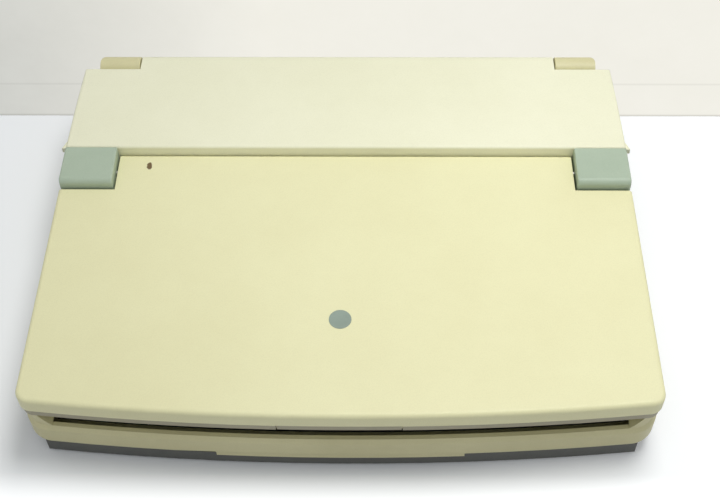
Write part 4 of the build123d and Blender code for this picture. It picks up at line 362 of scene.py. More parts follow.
@dataclass(frozen=True)
class MouldedPlastic(Finish):
    """Grained injection-moulded plastic that has aged a little."""

    colour: Colour
    aged: Colour
    worn: Colour
    roughness: float = 0.46
    grain_pitch: float = 0.00065
    grain_depth: float = 0.000014
    edge_radius: float = 0.0004
    edge_wear: float = 0.5
    shade_size: float = 0.08
    dust: float = 0.0
    scuffs: float = 0.12
    mark: Mark | None = None

    def dress(self, g: MaterialGraph) -> None:
        """Grains the plastic, and wears, rubs, dusts and marks it.

        Args:
            g: The material's graph.
        """
        edges = g.soft_edges(self.edge_radius)
        grain = g.effect(Effect.GRAIN, Pitch=self.grain_pitch)
        colour = g.mix(g.mottle(self.shade_size), self.colour, self.aged)
        colour = g.mix(g.times(grain["Pits"], 0.06), colour, shaded(self.aged, 0.5))
        colour = g.mix(g.times(edges["Edge"], self.edge_wear), colour, self.worn)
        colour = g.mix(g.effect(Effect.SCUFFS, Amount=self.scuffs)["Mask"], colour, self.worn)
        if self.dust:
            lying = g.effect(Effect.DUST, Amount=self.dust)["Mask"]
            colour = g.mix(lying, colour, linear(190, 184, 172))
        if self.mark:
            colour = g.mix(self.mark.mask(g), colour, self.mark.colour)
        rough = g.ramp(grain["Height"], 0.3, 0.7, self.roughness - 0.05, self.roughness + 0.06)
        g.surface({"Base Color": colour, "IOR": ACRYLIC_IOR,
                   "Roughness": g.less(rough, g.times(edges["Edge"], 0.08)),
                   "Normal": g.bump(grain["Height"], self.grain_depth, edges["Normal"])})


@dataclass(frozen=True)
class Rubber(Finish):
    """Dull moulded rubber with a fine ground surface."""

    colour: Colour
    roughness: float = 0.78
    edge_radius: float = 0.0003
    pitch: float = 0.00035
    depth: float = 0.00002
    dust: float = 0.35

    def dress(self, g: MaterialGraph) -> None:
        """Grinds the rubber and dusts it.

        Args:
            g: The material's graph.
        """
        edges = g.soft_edges(self.edge_radius)
        grain = g.effect(Effect.GRAIN, Pitch=self.pitch)
        colour = g.mix(g.mottle(0.03), self.colour, shaded(self.colour, 1.35))
        lying = g.effect(Effect.DUST, Amount=self.dust)["Mask"]
        colour = g.mix(lying, colour, linear(150, 145, 136))
        colour = g.mix(g.times(edges["Edge"], 0.4), colour, shaded(self.colour, 2.2))
        rough = g.ramp(grain["Height"], 0.3, 0.7, self.roughness - 0.08, self.roughness + 0.1)
        g.surface({"Base Color": colour, "Roughness": rough,
                   "Normal": g.bump(grain["Height"], self.depth, edges["Normal"])})


@dataclass(frozen=True)
class PlatedSheet(Finish):
    """Zinc-plated or painted sheet metal with rolling lines, spangle and bright edges."""

    colour: Colour
    metal: float = 1.0
    roughness: float = 0.38
    spangle: float = 0.006
    edge_radius: float = 0.0003
    line_pitch: float = 0.0004
    line_depth: float = 0.000006

    def dress(self, g: MaterialGraph) -> None:
        """Spangles and stains the sheet.

        Args:
            g: The material's graph.
        """
        edges = g.soft_edges(self.edge_radius)
        lines = g.effect(Effect.BRUSHED, Pitch=self.line_pitch)["Height"]
        cells = g.add("TexVoronoi", {"Vector": g.coords(), "Scale": 1.0 / self.spangle})
        tone = g.add("SeparateXYZ", {0: cells.outputs["Color"]}).outputs[0]
        colour = g.mix(g.ramp(tone, 0.0, 1.0, 0.0, 0.6), self.colour, shaded(self.colour, 0.78))
        stain = g.ramp(g.noise(g.coords(), 35.0, 4.0, 0.65), 0.52, 0.78, 0.0, 0.5)
        colour = g.mix(stain, colour, shaded(self.colour, 0.55))
        colour = g.mix(g.times(edges["Edge"], 0.6), colour, shaded(self.colour, 1.25))
        rough = g.ramp(tone, 0.0, 1.0, self.roughness - 0.08, self.roughness + 0.06)
        g.surface({"Base Color": colour, "Roughness": g.plus(rough, g.times(stain, 0.3)),
                   "Metallic": self.metal,
                   "Normal": g.bump(lines, self.line_depth, edges["Normal"])})


@dataclass(frozen=True)
class TurnedSteel(Finish):
    """Ground steel bar, with fine rings round it and a film of old oil."""

    colour: Colour
    roughness: float = 0.24
    edge_radius: float = 0.00025
    ring_depth: float = 0.000004

    def dress(self, g: MaterialGraph) -> None:
        """Rings the bar and oils it.

        Args:
            g: The material's graph.
        """
        edges = g.soft_edges(self.edge_radius)
        rings = g.noise(g.stretch(g.coords(), (1.0, 0.04, 0.04)), 5200.0, 2.0)
        film = g.ramp(g.noise(g.coords(), 60.0, 3.0), 0.45, 0.72)
        colour = g.mix(g.times(film, 0.45), self.colour, linear(150, 132, 100))
        colour = g.mix(g.times(edges["Edge"], 0.5), colour, (0.85, 0.85, 0.83))
        rough = g.ramp(rings, 0.3, 0.7, self.roughness - 0.06, self.roughness + 0.08)
        g.surface({"Base Color": colour, "Roughness": g.plus(rough, g.times(film, 0.16)),
                   "Metallic": 1.0, "Normal": g.bump(rings, self.ring_depth, edges["Normal"])})


@dataclass(frozen=True)
class ClearPane(Finish):
    """The clear acrylic in front of the screen, with faint wiping marks."""

    tint: Colour = (0.93, 0.95, 0.94)

    def dress(self, g: MaterialGraph) -> None:
        """Makes the pane clear, and wipes it.

        Args:
            g: The material's graph.
        """
        wiped = g.effect(Effect.SCUFFS, Amount=1.0)["Mask"]
        cloud = g.mottle(0.05)
        rough = g.plus(g.ramp(cloud, 0.0, 1.0, 0.03, 0.07), g.times(wiped, 0.2))
        g.surface({"Base Color": g.mix(g.times(cloud, 0.3), self.tint, shaded(self.tint, 0.95)),
                   "Roughness": rough, "Transmission Weight": 1.0, "IOR": ACRYLIC_IOR})


@dataclass(frozen=True)
class LiquidCrystal(Finish):
    """The screen: a grey-green dot panel inside a stamped metal frame."""

    middle: Span
    half: Span
    dot: float = 0.00046
    soft: float = 0.0002
    depth: float = 0.00001

    def dress(self, g: MaterialGraph) -> None:
        """Draws the panel's dots, and the frame round it.

        Args:
            g: The material's graph.
        """
        where = g.axes()
        inside = []
        dots = []
        for axis in (0, 1):
            inside.append(g.ramp(g.apart(where[axis], self.middle[axis]),
                                 self.half[axis] + self.soft, self.half[axis] - self.soft))
            turn = g.times(where[axis], 2 * pi / self.dot)
            dots.append(g.ramp(g.math("SINE", turn), 0.55, 0.95))
        panel = g.times(*inside)
        lines = g.math("MAXIMUM", *dots)
        screen = g.mix(g.mottle(0.12), linear(139, 148, 128), linear(126, 138, 122))
        screen = g.mix(g.times(lines, 0.35), screen, linear(104, 114, 100))
        rim = g.mix(g.mottle(0.02), linear(150, 150, 146), linear(120, 120, 117))
        g.surface({"Base Color": g.mix(panel, rim, screen),
                   "Roughness": g.ramp(panel, 0.0, 1.0, 0.42, 0.28),
                   "Metallic": g.less(1.0, panel),
                   "Normal": g.bump(g.times(lines, panel), self.depth)})


@dataclass(frozen=True)
class CircuitLacquer(Finish):
    """Green solder lacquer over copper tracks, with tinned pads."""

    colour: Colour
    track: Colour
    pitch: float = 0.0035
    depth: float = 0.00003

    def dress(self, g: MaterialGraph) -> None:
        """Lays the tracks and the pads.

        Args:
            g: The material's graph.
        """
        blocks = g.add("TexVoronoi", {"Vector": g.coords(), "Scale": 1.0 / self.pitch},
                       distance="CHEBYCHEV").outputs[0]
        track = g.ramp(g.apart(blocks, 0.42), 0.07, 0.05)
        pad = g.ramp(blocks, 0.10, 0.08)
        colour = g.mix(g.mottle(0.05), self.colour, shaded(self.colour, 0.8))
        colour = g.mix(g.times(track, 0.8), colour, self.track)
        colour = g.mix(pad, colour, (0.6, 0.58, 0.52))
        lying = g.effect(Effect.DUST, Amount=0.3)["Mask"]
        g.surface({"Base Color": g.mix(lying, colour, linear(150, 146, 136)),
                   "Roughness": g.ramp(pad, 0.0, 1.0, 0.36, 0.5), "Metallic": pad,
                   "Normal": g.bump(g.plus(track, pad), self.depth)})


@dataclass(frozen=True)
class RibbonCable(Finish):
    """Flat cable: grey cores side by side."""

    colour: Colour
    pitch: float = 0.00127
    depth: float = 0.0002

    def dress(self, g: MaterialGraph) -> None:
        """Draws the cores, with painted shade in the valleys between them.

        Args:
            g: The material's graph.
        """
        core = g.math("SINE", g.times(g.axes()[0], 2 * pi / self.pitch))
        cloud = g.mottle(0.02)
        colour = g.mix(cloud, self.colour, shaded(self.colour, 0.85))
        # Painted shade in the valleys between the cores.
        colour = g.mix(g.times(g.ramp(core, -0.4, -0.95), 0.6), colour, shaded(self.colour, 0.4))
        g.surface({"Base Color": colour, "Roughness": g.ramp(cloud, 0.0, 1.0, 0.42, 0.55),
                   "Normal": g.bump(core, self.depth)})


@dataclass(frozen=True)
class PrintedInk(Finish):
    """Ink printed on plastic, a little worn through."""

    colour: Colour
    under: Colour
    roughness: float = 0.5
    depth: float = 0.000008

    def dress(self, g: MaterialGraph) -> None:
        """Thins the ink, so that what is under it shows a little.

        Args:
            g: The material's graph.
        """
        cloud = g.noise(g.coords(), 2600.0, 3.0, 0.7)
        colour = g.mix(g.times(g.mottle(0.01), 0.5), self.colour, shaded(self.colour, 1.3))
        rough = g.ramp(cloud, 0.3, 0.7, self.roughness - 0.06, self.roughness + 0.08)
        g.surface({"Base Color": g.mix(g.ramp(cloud, 0.62, 0.72, 0.0, 0.5), colour, self.under),
                   "Roughness": rough, "Normal": g.bump(cloud, self.depth)})


@dataclass(frozen=True)
class SocketWithPins(Finish):
    """Black moulded plastic with two plated contact pins along Y."""

    middle: Span
    spacing: float = 0.0106
    radius: float = 0.00135
    edge_radius: float = 0.0003
    grain_pitch: float = 0.0005
    grain_depth: float = 0.00001

    def dress(self, g: MaterialGraph) -> None:
        """Draws the pins on the plastic.

        Args:
            g: The material's graph.
        """
        where = g.axes()
        across = g.less(g.apart(where[0], self.middle[0]), self.spacing / 2)
        rise = g.less(where[2], self.middle[1])
        reach = g.math("SQRT", g.plus(g.math("POWER", across, 2.0), g.math("POWER", rise, 2.0)))
        pin = g.ramp(reach, self.radius + 0.0001, self.radius - 0.00005)
        grain = g.effect(Effect.GRAIN, Pitch=self.grain_pitch)
        edges = g.soft_edges(self.edge_radius)
        black = g.mix(grain["Pits"], linear(34, 34, 36), linear(48, 48, 50))
        black = g.mix(g.times(edges["Edge"], 0.3), black, linear(90, 90, 92))
        g.surface({"Base Color": g.mix(pin, black, (0.72, 0.70, 0.64)),
                   "Roughness": g.ramp(pin, 0.0, 1.0, 0.5, 0.28), "Metallic": pin,
                   "Normal": g.bump(grain["Height"], self.grain_depth, edges["Normal"])})


def moulded(name: str, *shades: tuple[int, int, int], **settings: object) -> MouldedPlastic:
    """A plastic of three screen colours, its own and when aged and worn."""
    return MouldedPlastic(name, *(linear(*shade) for shade in shades), **settings)


def ink(name: str, *shades: tuple[int, int, int], roughness: float = 0.5) -> PrintedInk:
    """An ink of two screen colours, its own and what is under it."""
    return PrintedInk(name, *(linear(*shade) for shade in shades), roughness)


class Finishes:
    """Every finish of the machine, by the record's slot names and by its own."""

    def __init__(self) -> None:
        """Lists the finishes and builds none yet."""
        self.made: dict[str, bpy.types.Material] = {}
        self.known = {finish.name: finish for finish in self.plastics() + self.others()}

    def plastics(self) -> list[Finish]:
        """The moulded plastics of the case, the lid, the cover and the keys.

        Returns:
            The finishes.
        """
        chip = Mark((-0.1177, 0.0404), (0.0016, 0.0030), linear(112, 92, 58))
        key = {"roughness": 0.5, "grain_pitch": 0.0004, "grain_depth": 0.00001,
               "edge_radius": 0.00025, "shade_size": 0.02, "dust": 0.15}
        return [
            moulded("cream_plastic", (240, 237, 191), (235, 231, 184), (247, 245, 208), mark=chip),
            moulded("pale_plastic", (243, 242, 213), (238, 237, 206), (250, 250, 230)),
            moulded("tan_plastic", (220, 214, 168), (208, 202, 156), (232, 228, 190),
                    edge_wear=0.4),
            moulded("green_plastic", (182, 197, 175), (170, 186, 164), (200, 212, 193)),
            moulded("bezel_plastic", (172, 166, 140), (160, 154, 129), (190, 185, 160),
                    edge_wear=0.3),
            moulded("dark_plastic", (92, 93, 88), (82, 83, 79), (120, 120, 114),
                    roughness=0.55, dust=0.25),
            moulded("key_plastic", (226, 222, 198), (218, 213, 186), (236, 233, 214), **key),
            moulded("grey_key_plastic", (158, 158, 148), (148, 148, 138), (176, 176, 166), **key),
            moulded("green_key_plastic", (150, 172, 150), (140, 162, 141), (172, 190, 170), **key),
            moulded("gear_plastic", (222, 218, 204), (205, 200, 182), (236, 234, 226),
                    roughness=0.38, grain_depth=0.000005, edge_radius=0.00015, shade_size=0.01,
                    scuffs=0.4),
            moulded("chip_black", (38, 38, 40), (46, 46, 47), (74, 74, 74), roughness=0.55,
                    grain_pitch=0.0003, edge_radius=0.0002, shade_size=0.01, dust=0.3),
            moulded("battery_green", (60, 122, 70), (52, 108, 62), (120, 160, 124),
                    roughness=0.3, grain_depth=0.000004, shade_size=0.01),
        ]

    def others(self) -> list[Finish]:
        """The rubber, metal, glass, boards, cables and inks.

        Returns:
            The finishes.
        """
        low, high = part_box("lcd_module")
        middle = ((low.x + high.x) / 2, (low.y + high.y) / 2)
        inlet_low, inlet_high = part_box("power_inlet")
        socket = ((inlet_low.x + inlet_high.x) / 2, (inlet_low.z + inlet_high.z) / 2)
        return [
            Rubber("black_rubber", linear(42, 41, 40)),
            Rubber("grey_rubber", linear(104, 102, 98), dust=0.2),
            TurnedSteel("steel", (0.62, 0.61, 0.58)),
            PlatedSheet("plated_sheet", (0.60, 0.60, 0.56)),
            PlatedSheet("supply_can", (0.52, 0.52, 0.50), roughness=0.44, spangle=0.012),
            PlatedSheet("black_plate", (0.05, 0.05, 0.05), 0.0, roughness=0.55, spangle=0.012),
            ClearPane("clear_pane"),
            LiquidCrystal("lcd_panel", middle, (0.114, 0.037)),
            CircuitLacquer("circuit_board", linear(40, 92, 58), linear(62, 122, 76)),
            RibbonCable("cable_grey", linear(152, 152, 150)),
            SocketWithPins("inlet_socket", socket),
            ink("legend_ink", (58, 66, 62), (220, 216, 192)),
            ink("pale_ink", (232, 232, 222), (150, 150, 142)),
            ink("border_ink", (40, 42, 42), (60, 62, 62), roughness=0.35),
            ink("badge_ink", (137, 152, 140), (150, 163, 150)),
            ink("ribbon_film", (22, 22, 24), (34, 34, 36), roughness=0.3),
            ink("lamp_lens", (150, 44, 36), (120, 34, 30), roughness=0.2),
        ]

    def get(self, name: str) -> bpy.types.Material:
        """A finish as a material, built when it is first asked for.

        Args:
            name: The finish's name.

        Returns:
            The material.
        """
        if name not in self.made:
            self.made[name] = self.known[name].build()
        return self.made[name]


# Making pieces.
def settle(mesh: Shape, name: str) -> bpy.types.Mesh:
    """Turns a shape into a mesh of the scene.

    Args:
        mesh: The shape, which is used up.
        name: The mesh's name.

    Returns:
        The mesh.
    """
    data = bpy.data.meshes.new(name)
    mesh.to_mesh(data)
    mesh.free()
    return data


def add_object(name: str, data: bpy.types.ID) -> bpy.types.Object:
    """Adds an object to the scene.

    Args:
        name: Its name.
        data: What it shows.

    Returns:
        The object.
    """
    added = bpy.data.objects.new(name, data)
    bpy.context.scene.collection.objects.link(added)
    return added


def paste(mesh: Shape, data: bpy.types.Mesh) -> list:
    """Adds a copy of a mesh to a shape.

    Args:
        mesh: The shape.
        data: The mesh.

    Returns:
        The copy's points.
    """
    before = len(mesh.verts)
    mesh.from_mesh(data)
    mesh.verts.ensure_lookup_table()
    return mesh.verts[before:]


def move(mesh: Shape, verts: Iterable, x: float, y: float, z: float) -> None:
    """Moves points by millimetres."""
    bmesh.ops.translate(mesh, vec=(x * MM, y * MM, z * MM), verts=verts)


def soften(mesh: Shape, edges: list, radius: float, segments: int) -> list:
    """Rounds edges by a radius in millimetres, and gives the new points."""
    return bmesh.ops.bevel(mesh, geom=edges, offset=radius * MM, offset_type="OFFSET",
                           segments=segments, profile=0.5, affect="EDGES", material=-1)["verts"]


def slice_at(mesh: Shape, x: float) -> None:
    """Cuts a shape's faces along a plane across X, in metres."""
    bmesh.ops.bisect_plane(mesh, geom=mesh.verts[:] + mesh.edges[:] + mesh.faces[:],
                           plane_co=(x, 0, 0), plane_no=(1, 0, 0))


def block(mesh: Shape, low: Place, high: Place, edge: float = 0.0, segments: int = 1) -> None:
    """Adds a box with rounded edges.

    Args:
        mesh: Where it goes.
        low: Its lowest corner, in millimetres.
        high: Its highest corner.
        edge: The radius of its edges.
        segments: How many faces round them.
    """
    made = bmesh.ops.create_cube(mesh, size=1.0)["verts"]
    bmesh.ops.scale(mesh, vec=[(h - l) * MM for l, h in zip(low, high)], verts=made)
    bmesh.ops.translate(mesh, vec=[(h + l) / 2 * MM for l, h in zip(low, high)], verts=made)
    if edge:
        soften(mesh, list({e for v in made for e in v.link_edges}), edge, segments)


def disc(mesh: Shape, x: float, y: float, z0: float, z1: float, radius: float, edge: float,
         segments: int) -> None:
    """Adds an upright round piece.

    Args:
        mesh: Where it goes.
        x: Its middle, in millimetres.
        y: Its middle.
        z0: Its underside.
        z1: Its top.
        radius: Its radius.
        edge: The radius of its rims.
        segments: How many faces round it.
    """
    made = bmesh.ops.create_cone(mesh, cap_ends=True, cap_tris=False, segments=segments,
                                 radius1=radius * MM, radius2=radius * MM,
                                 depth=(z1 - z0) * MM)["verts"]
    move(mesh, made, x, y, (z0 + z1) / 2)
    rims = [e for e in {e for v in made for e in v.link_edges}
            if abs(e.verts[0].co.z - e.verts[1].co.z) < LEVEL]
    soften(mesh, rims, edge, 2)


def facing(mesh: Shape, x: float, y: float, way: int = 1) -> bmesh.types.BMFace:
    """The outermost level face whose middle is over a point.

    Args:
        mesh: Where to look.
        x: The point, in millimetres.
        y: The point.
        way: 1 for the highest face that looks up, -1 for the lowest that looks down.

    Returns:
        The face.
    """
    near = [f for f in mesh.faces
            if (f.calc_center_median().xy - Vector((x, y)) * MM).length < OVER]
    return max(near, key=lambda f: (way * round(f.calc_center_median().z, 6), f.calc_area()))


def islands(node: str) -> list[tuple[Vector, Vector]]:
    """Finds each separate piece of a node.

    Args:
        node: The node's name.

    Returns:
        Their lowest and highest corners, in millimetres.
    """
    mesh = bmesh.new()
    mesh.from_mesh(NODES[node].data)
    bmesh.ops.remove_doubles(mesh, verts=mesh.verts[:], dist=SAME)
    left = set(mesh.verts)
    found = []
    while left:
        reached = [left.pop()]
        for vert in reached:
            fresh = {e.other_vert(vert) for e in vert.link_edges} & left
            left -= fresh
            reached.extend(fresh)
        spans = [[v.co[axis] / MM for v in reached] for axis in range(3)]
        found.append((Vector([min(s) for s in spans]), Vector([max(s) for s in spans])))
    mesh.free()
    return sorted(found, key=lambda pair: tuple(pair[0]))


class Maker:
    """Turns finished shapes into pieces that ride on the machine's bodies."""

    def __init__(self, finishes: Finishes) -> None:
        """Keeps the finishes that the pieces take."""
        self.finishes = finishes

    def piece(self, name: str, mesh: Shape, finish: str, body: str, slot: str | None = None,
              replaces: Iterable[str] = (), sharp: float = 35.0) -> None:
        """Makes one piece of a shape and lets it ride.

        Args:
            name: The piece's name.
            mesh: Its shape in place, which is used up.
            finish: The name of its finish.
            body: The body that it rides on.
            slot: The record's slot of its finish, if it has one; not used.
            replaces: The nodes that it stands for.
            sharp: Faces that meet at more than this many degrees stay sharp.
        """
        data = settle(mesh, name)
        data.polygons.foreach_set("use_smooth", [True] * len(data.polygons))
        data.set_sharp_from_angle(angle=radians(sharp))
        data.materials.append(self.finishes.get(finish))
        piece = add_object(name, data)
        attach(piece, body)
        if replaces:
            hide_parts(*replaces)
        log.info("%s: %d faces on %s", name, len(data.polygons), body)


@dataclass
class Lettering:
    """Words and signs as thin solid meshes, in millimetres."""

    capital: float = 0.7          # a capital's height as a share of the font's size
    thickness: float = 0.04
    made: dict[tuple[str, float], bpy.types.Mesh] = field(default_factory=dict)

    def word(self, text: str, size: float) -> bpy.types.Mesh:
        """A word as a mesh round the origin, made once.

        Args:
            text: The word.
            size: Its letters' height.

        Returns:
            The mesh.
        """
        if (text, size) not in self.made:
            curve = bpy.data.curves.new("word", "FONT")
            curve.body = text
            curve.size = size * MM / self.capital
            curve.align_x = "CENTER"
            curve.align_y = "CENTER"
            curve.resolution_u = 3
            curve.extrude = self.thickness / 2 * MM
            holder = add_object("word", curve)
            shown = holder.evaluated_get(bpy.context.evaluated_depsgraph_get())
            self.made[text, size] = bpy.data.meshes.new_from_object(shown)
            bpy.data.objects.remove(holder)
            bpy.data.curves.remove(curve)
        return self.made[text, size]

    def put(self, mesh: Shape, text: str, size: float, x: float, y: float, z: float) -> None:
        """Adds a word to a shape, with its middle at a place."""
        move(mesh, paste(mesh, self.word(text, size)), x, y, z)

    def arrow(self, mesh: Shape, size: float, turn: float) -> None:
        """Adds a triangle to a shape, turned in degrees from pointing back."""
        bmesh.ops.create_cone(mesh, cap_ends=True, segments=3, radius1=size * MM / 2,
                              radius2=size * MM / 2, depth=self.thickness * MM,
                              matrix=Matrix.Rotation(radians(turn), 4, "Z"))


# Keyboard.
@dataclass(frozen=True)
class Key:
    """One key: its left edge and width in pitches, its row and its legend."""

    left: float
    width: float
    row: int
    legend: str = ""
    turn: float = 0.0


@dataclass
class Keyboard:
    """The dished keycaps with their legends, in millimetres."""

    maker: Maker
    lettering: Lettering
    pitch: float = 18.6
    gap: float = 1.2
    field_x: float = -139.5
    front_y: float = -96.5
    function_y: float = -5.1
    function_depth: float = 11.0
    skirt_z: float = 31.0
    height: float = 8.0
    taper: float = 11.0
    corner: float = 1.3
    rim: float = 0.6
    dish: float = 0.45
    shallow_dish: float = 0.2     # on the function keys and the space bar
    deep_from: float = 12.0
    wide_from: float = 40.0
    deep_strips: int = 9
    shallow_strips: int = 3
    wall: float = 1.3
    hollow: float = 5.4
    stem: float = 5.0
    stem_depth: float = 6.2
    stem_top: float = 5.6
    letter_size: float = 4.0
    word_sizes: Span = (2.1, 1.7)
    arrow_size: float = 4.6
    ink_lift: float = 0.012
    ink_strip: float = 0.9
    ink_cuts: int = 6             # to each side of a legend's middle
    caps: dict[Span, bpy.types.Mesh] = field(default_factory=dict)

    def run(self, start: float, row: int, text: str) -> list[Key]:
        """A run of single keys from the left, one for each character."""
        return [Key(start + i, 1.0, row, c) for i, c in enumerate(text)]

    def rows(self) -> dict[str, list[Key]]:
        """The keyboard's layout.

        Returns:
            Every node of the keyboard with its keys.
        """
        return {
            "number_keys": self.run(0.0, 4, "1234567890-^+"),
            "backspace_key": [Key(13.0, 2.0, 4, "BACK")],
            "upper_letter_keys": [Key(0.0, 1.5, 3, "TAB")] + self.run(1.5, 3, "QWERTYUIOP@["),
            "middle_letter_keys": [Key(0.0, 1.5, 2, "CAPS")] + self.run(1.5, 2, "ASDFGHJKL;:]"),
            "lower_letter_keys": self.run(2.0, 1, "ZXCVBNM,./") + [Key(14.0, 1.0, 1, "INS")],
            "left_shift_key": [Key(0.0, 2.0, 1, "SHIFT")],
            "right_shift_key": [Key(12.0, 1.0, 1, "SHIFT")],
            "space_bar": [Key(4.0, 4.0, 0)],
            "mode_keys": [Key(0.0, 1.25, 0, "ESC"), Key(1.25, 1.25, 0, "CTRL"),
                          Key(2.5, 1.5, 0, "ALT"), Key(8.0, 1.5, 0, "MODE"),
                          Key(9.5, 1.5, 0, "FORM"), Key(11.0, 1.0, 0, "DEL")],
            "cursor_keys": [Key(13.0, 1.0, 1, "arrow", 0.0), Key(12.0, 1.0, 0, "arrow", 90.0),
                            Key(13.0, 1.0, 0, "arrow", 180.0), Key(14.0, 1.0, 0, "arrow", 270.0)],
            "enter_key": [Key(13.5, 1.5, 2, "ENTER")],
            "function_keys": [Key(i * 14.0 / 12 + 0.5 * (i // 4), 14.0 / 12, 5, f"F{i + 1}")
                              for i in range(12)],
        }

    def place(self, node: str, key: Key) -> tuple[float, float, float, float]:
        """A key's middle and size.

        Args:
            node: The node that the key belongs to.
            key: The key.

        Returns:
            Its middle's x and y, its width and its depth.
        """
        x = self.field_x + (key.left + key.width / 2) * self.pitch
        width = key.width * self.pitch - self.gap
        if node == "function_keys":
            return x, self.function_y, width, self.function_depth
        if node == "enter_key":
            return x, self.front_y + 2.5 * self.pitch, width, 2 * self.pitch - self.gap
        return x, self.front_y + key.row * self.pitch, width, self.pitch - self.gap

    def top_size(self, width: float, depth: float) -> Span:
        """The size of a cap's top face."""
        shrink = 2 * self.height * sin(radians(self.taper)) / cos(radians(self.taper))
        return width - shrink, depth - shrink

    def sink(self, x: float, width: float, depth: float) -> float:
        """How deep the dish is at a distance from a cap's middle.

        Args:
            x: The distance.
            width: The cap's width.
            depth: The cap's depth.

        Returns:
            How far the top lies below its rim.
        """
        half = self.top_size(width, depth)[0] / 2 - self.rim
        deep = depth > self.deep_from and width < self.wide_from
        return (self.dish if deep else self.shallow_dish) * max(0.0, 1.0 - (x / half) ** 2)

    def cap(self, width: float, depth: float) -> bpy.types.Mesh:
        """One cap with its hollow underside and stem, round the origin.

        Args:
            width: Its width at the skirt.
            depth: Its depth at the skirt.

        Returns:
            The mesh, with its skirt at height 0.
        """
        size = (round(width, 3), round(depth, 3))
        if size in self.caps:
            return self.caps[size]
        mesh = bmesh.new()
        block(mesh, (-width / 2, -depth / 2, 0.0), (width / 2, depth / 2, self.height))
        across, along = self.top_size(width, depth)
        bmesh.ops.scale(mesh, vec=(across / width, along / depth, 1.0),
                        verts=[v for v in mesh.verts if v.co.z > MM])
        upright = [e for e in mesh.edges if abs(e.verts[0].co.z - e.verts[1].co.z) > MM]
        soften(mesh, upright, self.corner, 3)
        low = facing(mesh, 0.0, 0.0, -1)
        bmesh.ops.inset_region(mesh, faces=[low], thickness=self.wall * MM)
        raised = bmesh.ops.extrude_discrete_faces(mesh, faces=[low])["faces"][0].verts
        move(mesh, raised, 0.0, 0.0, self.hollow)
        bmesh.ops.scale(mesh, vec=((across - 2 * self.wall) / (width - 2 * self.wall),
                                   (along - 2 * self.wall) / (depth - 2 * self.wall), 1.0),
                        verts=raised)
        high = self.height * MM
        soften(mesh, [e for e in mesh.edges if all(abs(v.co.z - high) < LEVEL for v in e.verts)],
               self.rim, 3)
        deep = self.sink(0.0, width, depth) > self.shallow_dish
        strips = self.deep_strips if deep else self.shallow_strips
        for i in range(1, strips):
            slice_at(mesh, (i / strips - 0.5) * (across - 2 * self.rim) * MM)
        for v in mesh.verts:
            if abs(v.co.z - high) < LEVEL:
                v.co.z -= self.sink(v.co.x / MM, width, depth) * MM
        half = self.stem / 2
        block(mesh, (-half, -half, -self.stem_depth), (half, half, self.stem_top), 0.2)
        self.caps[size] = settle(mesh, "cap")
        return self.caps[size]

    def build(self) -> None:
        """Makes every row's caps and legends."""
        for node, keys in self.rows().items():
            slot = NODES[node].data.materials[0].name
            caps = bmesh.new()
            legends = bmesh.new()
            for key in keys:
                x, y, width, depth = self.place(node, key)
                move(caps, paste(caps, self.cap(width, depth)), x, y, self.skirt_z)
                if key.legend:
                    self.print_legend(legends, key, x, y, width, depth)
            self.maker.piece(node + "_caps", caps, slot, node + "_body", slot, (node,))
            if len(legends.verts):
                tone = "legend_ink" if slot == "key_plastic" else "pale_ink"
                self.maker.piece(node + "_legends", legends, tone, node + "_body")
            else:
                legends.free()

    def print_legend(self, legends: Shape, key: Key, x: float, y: float, width: float,
                     depth: float) -> None:
        """Lays a key's legend on its dished top.

        Args:
            legends: The shape of the row's legends.
            key: The key.
            x: Its middle.
            y: Its middle.
            width: Its width.
            depth: Its depth.
        """
        own = bmesh.new()
        if key.legend == "arrow":
            self.lettering.arrow(own, self.arrow_size, key.turn)
        else:
            long = len(key.legend) > 3
            size = self.letter_size if len(key.legend) == 1 else self.word_sizes[long]
            self.lettering.put(own, key.legend, size, 0.0, 0.0, 0.0)
        for i in range(-self.ink_cuts, self.ink_cuts + 1):
            slice_at(own, i * self.ink_strip * MM)
        high = self.skirt_z + self.height + self.ink_lift
        for v in own.verts:
            v.co.z += (high - self.sink(v.co.x / MM, width, depth)) * MM
            v.co.x += x * MM
            v.co.y += y * MM
        data = settle(own, "legend")
        legends.from_mesh(data)
        bpy.data.meshes.remove(data)


# Lid and screen.
@dataclass
class ScreenLid:
    """The plain badge on the lid and the printed border behind the pane, in millimetres."""

    maker: Maker
    badge_x: float = -0.5
    badge_y: float = -71.4
    badge_z: Span = (52.8, 53.25)
    badge_radius: float = 6.2
    badge_rim: float = 0.7
    badge_dip: float = 0.06
    border_z: Span = (43.05, 43.15)
    border_width: float = 6.0
    window: tuple[float, float, float, float] = (-118.0, 118.0, -87.0, -5.0)

    def build(self) -> None:
        """Makes the badge and the border."""
        mesh = bmesh.new()
        disc(mesh, self.badge_x, self.badge_y, *self.badge_z, self.badge_radius, 0.15, 48)
        top = facing(mesh, self.badge_x, self.badge_y)
        bmesh.ops.inset_region(mesh, faces=[top], thickness=self.badge_rim * MM,
                               depth=-self.badge_dip * MM)
        self.maker.piece("lid_badge", mesh, "badge_ink", "lid", "green_plastic")
        mesh = bmesh.new()
        x0, x1, y0, y1 = self.window
        block(mesh, (x0, y0, self.border_z[0]), (x1, y1, self.border_z[1]))
        inner = [f for f in mesh.faces if abs(f.normal.z) > 0.9]
        for face in inner:
            bmesh.ops.inset_region(mesh, faces=[face], thickness=self.border_width * MM)
        bmesh.ops.bridge_loops(mesh, edges=[e for f in inner for e in f.edges])
        bmesh.ops.delete(mesh, geom=inner, context="FACES_ONLY")
        bmesh.ops.recalc_face_normals(mesh, faces=mesh.faces)
        self.maker.piece("screen_border", mesh, "border_ink", "lid")


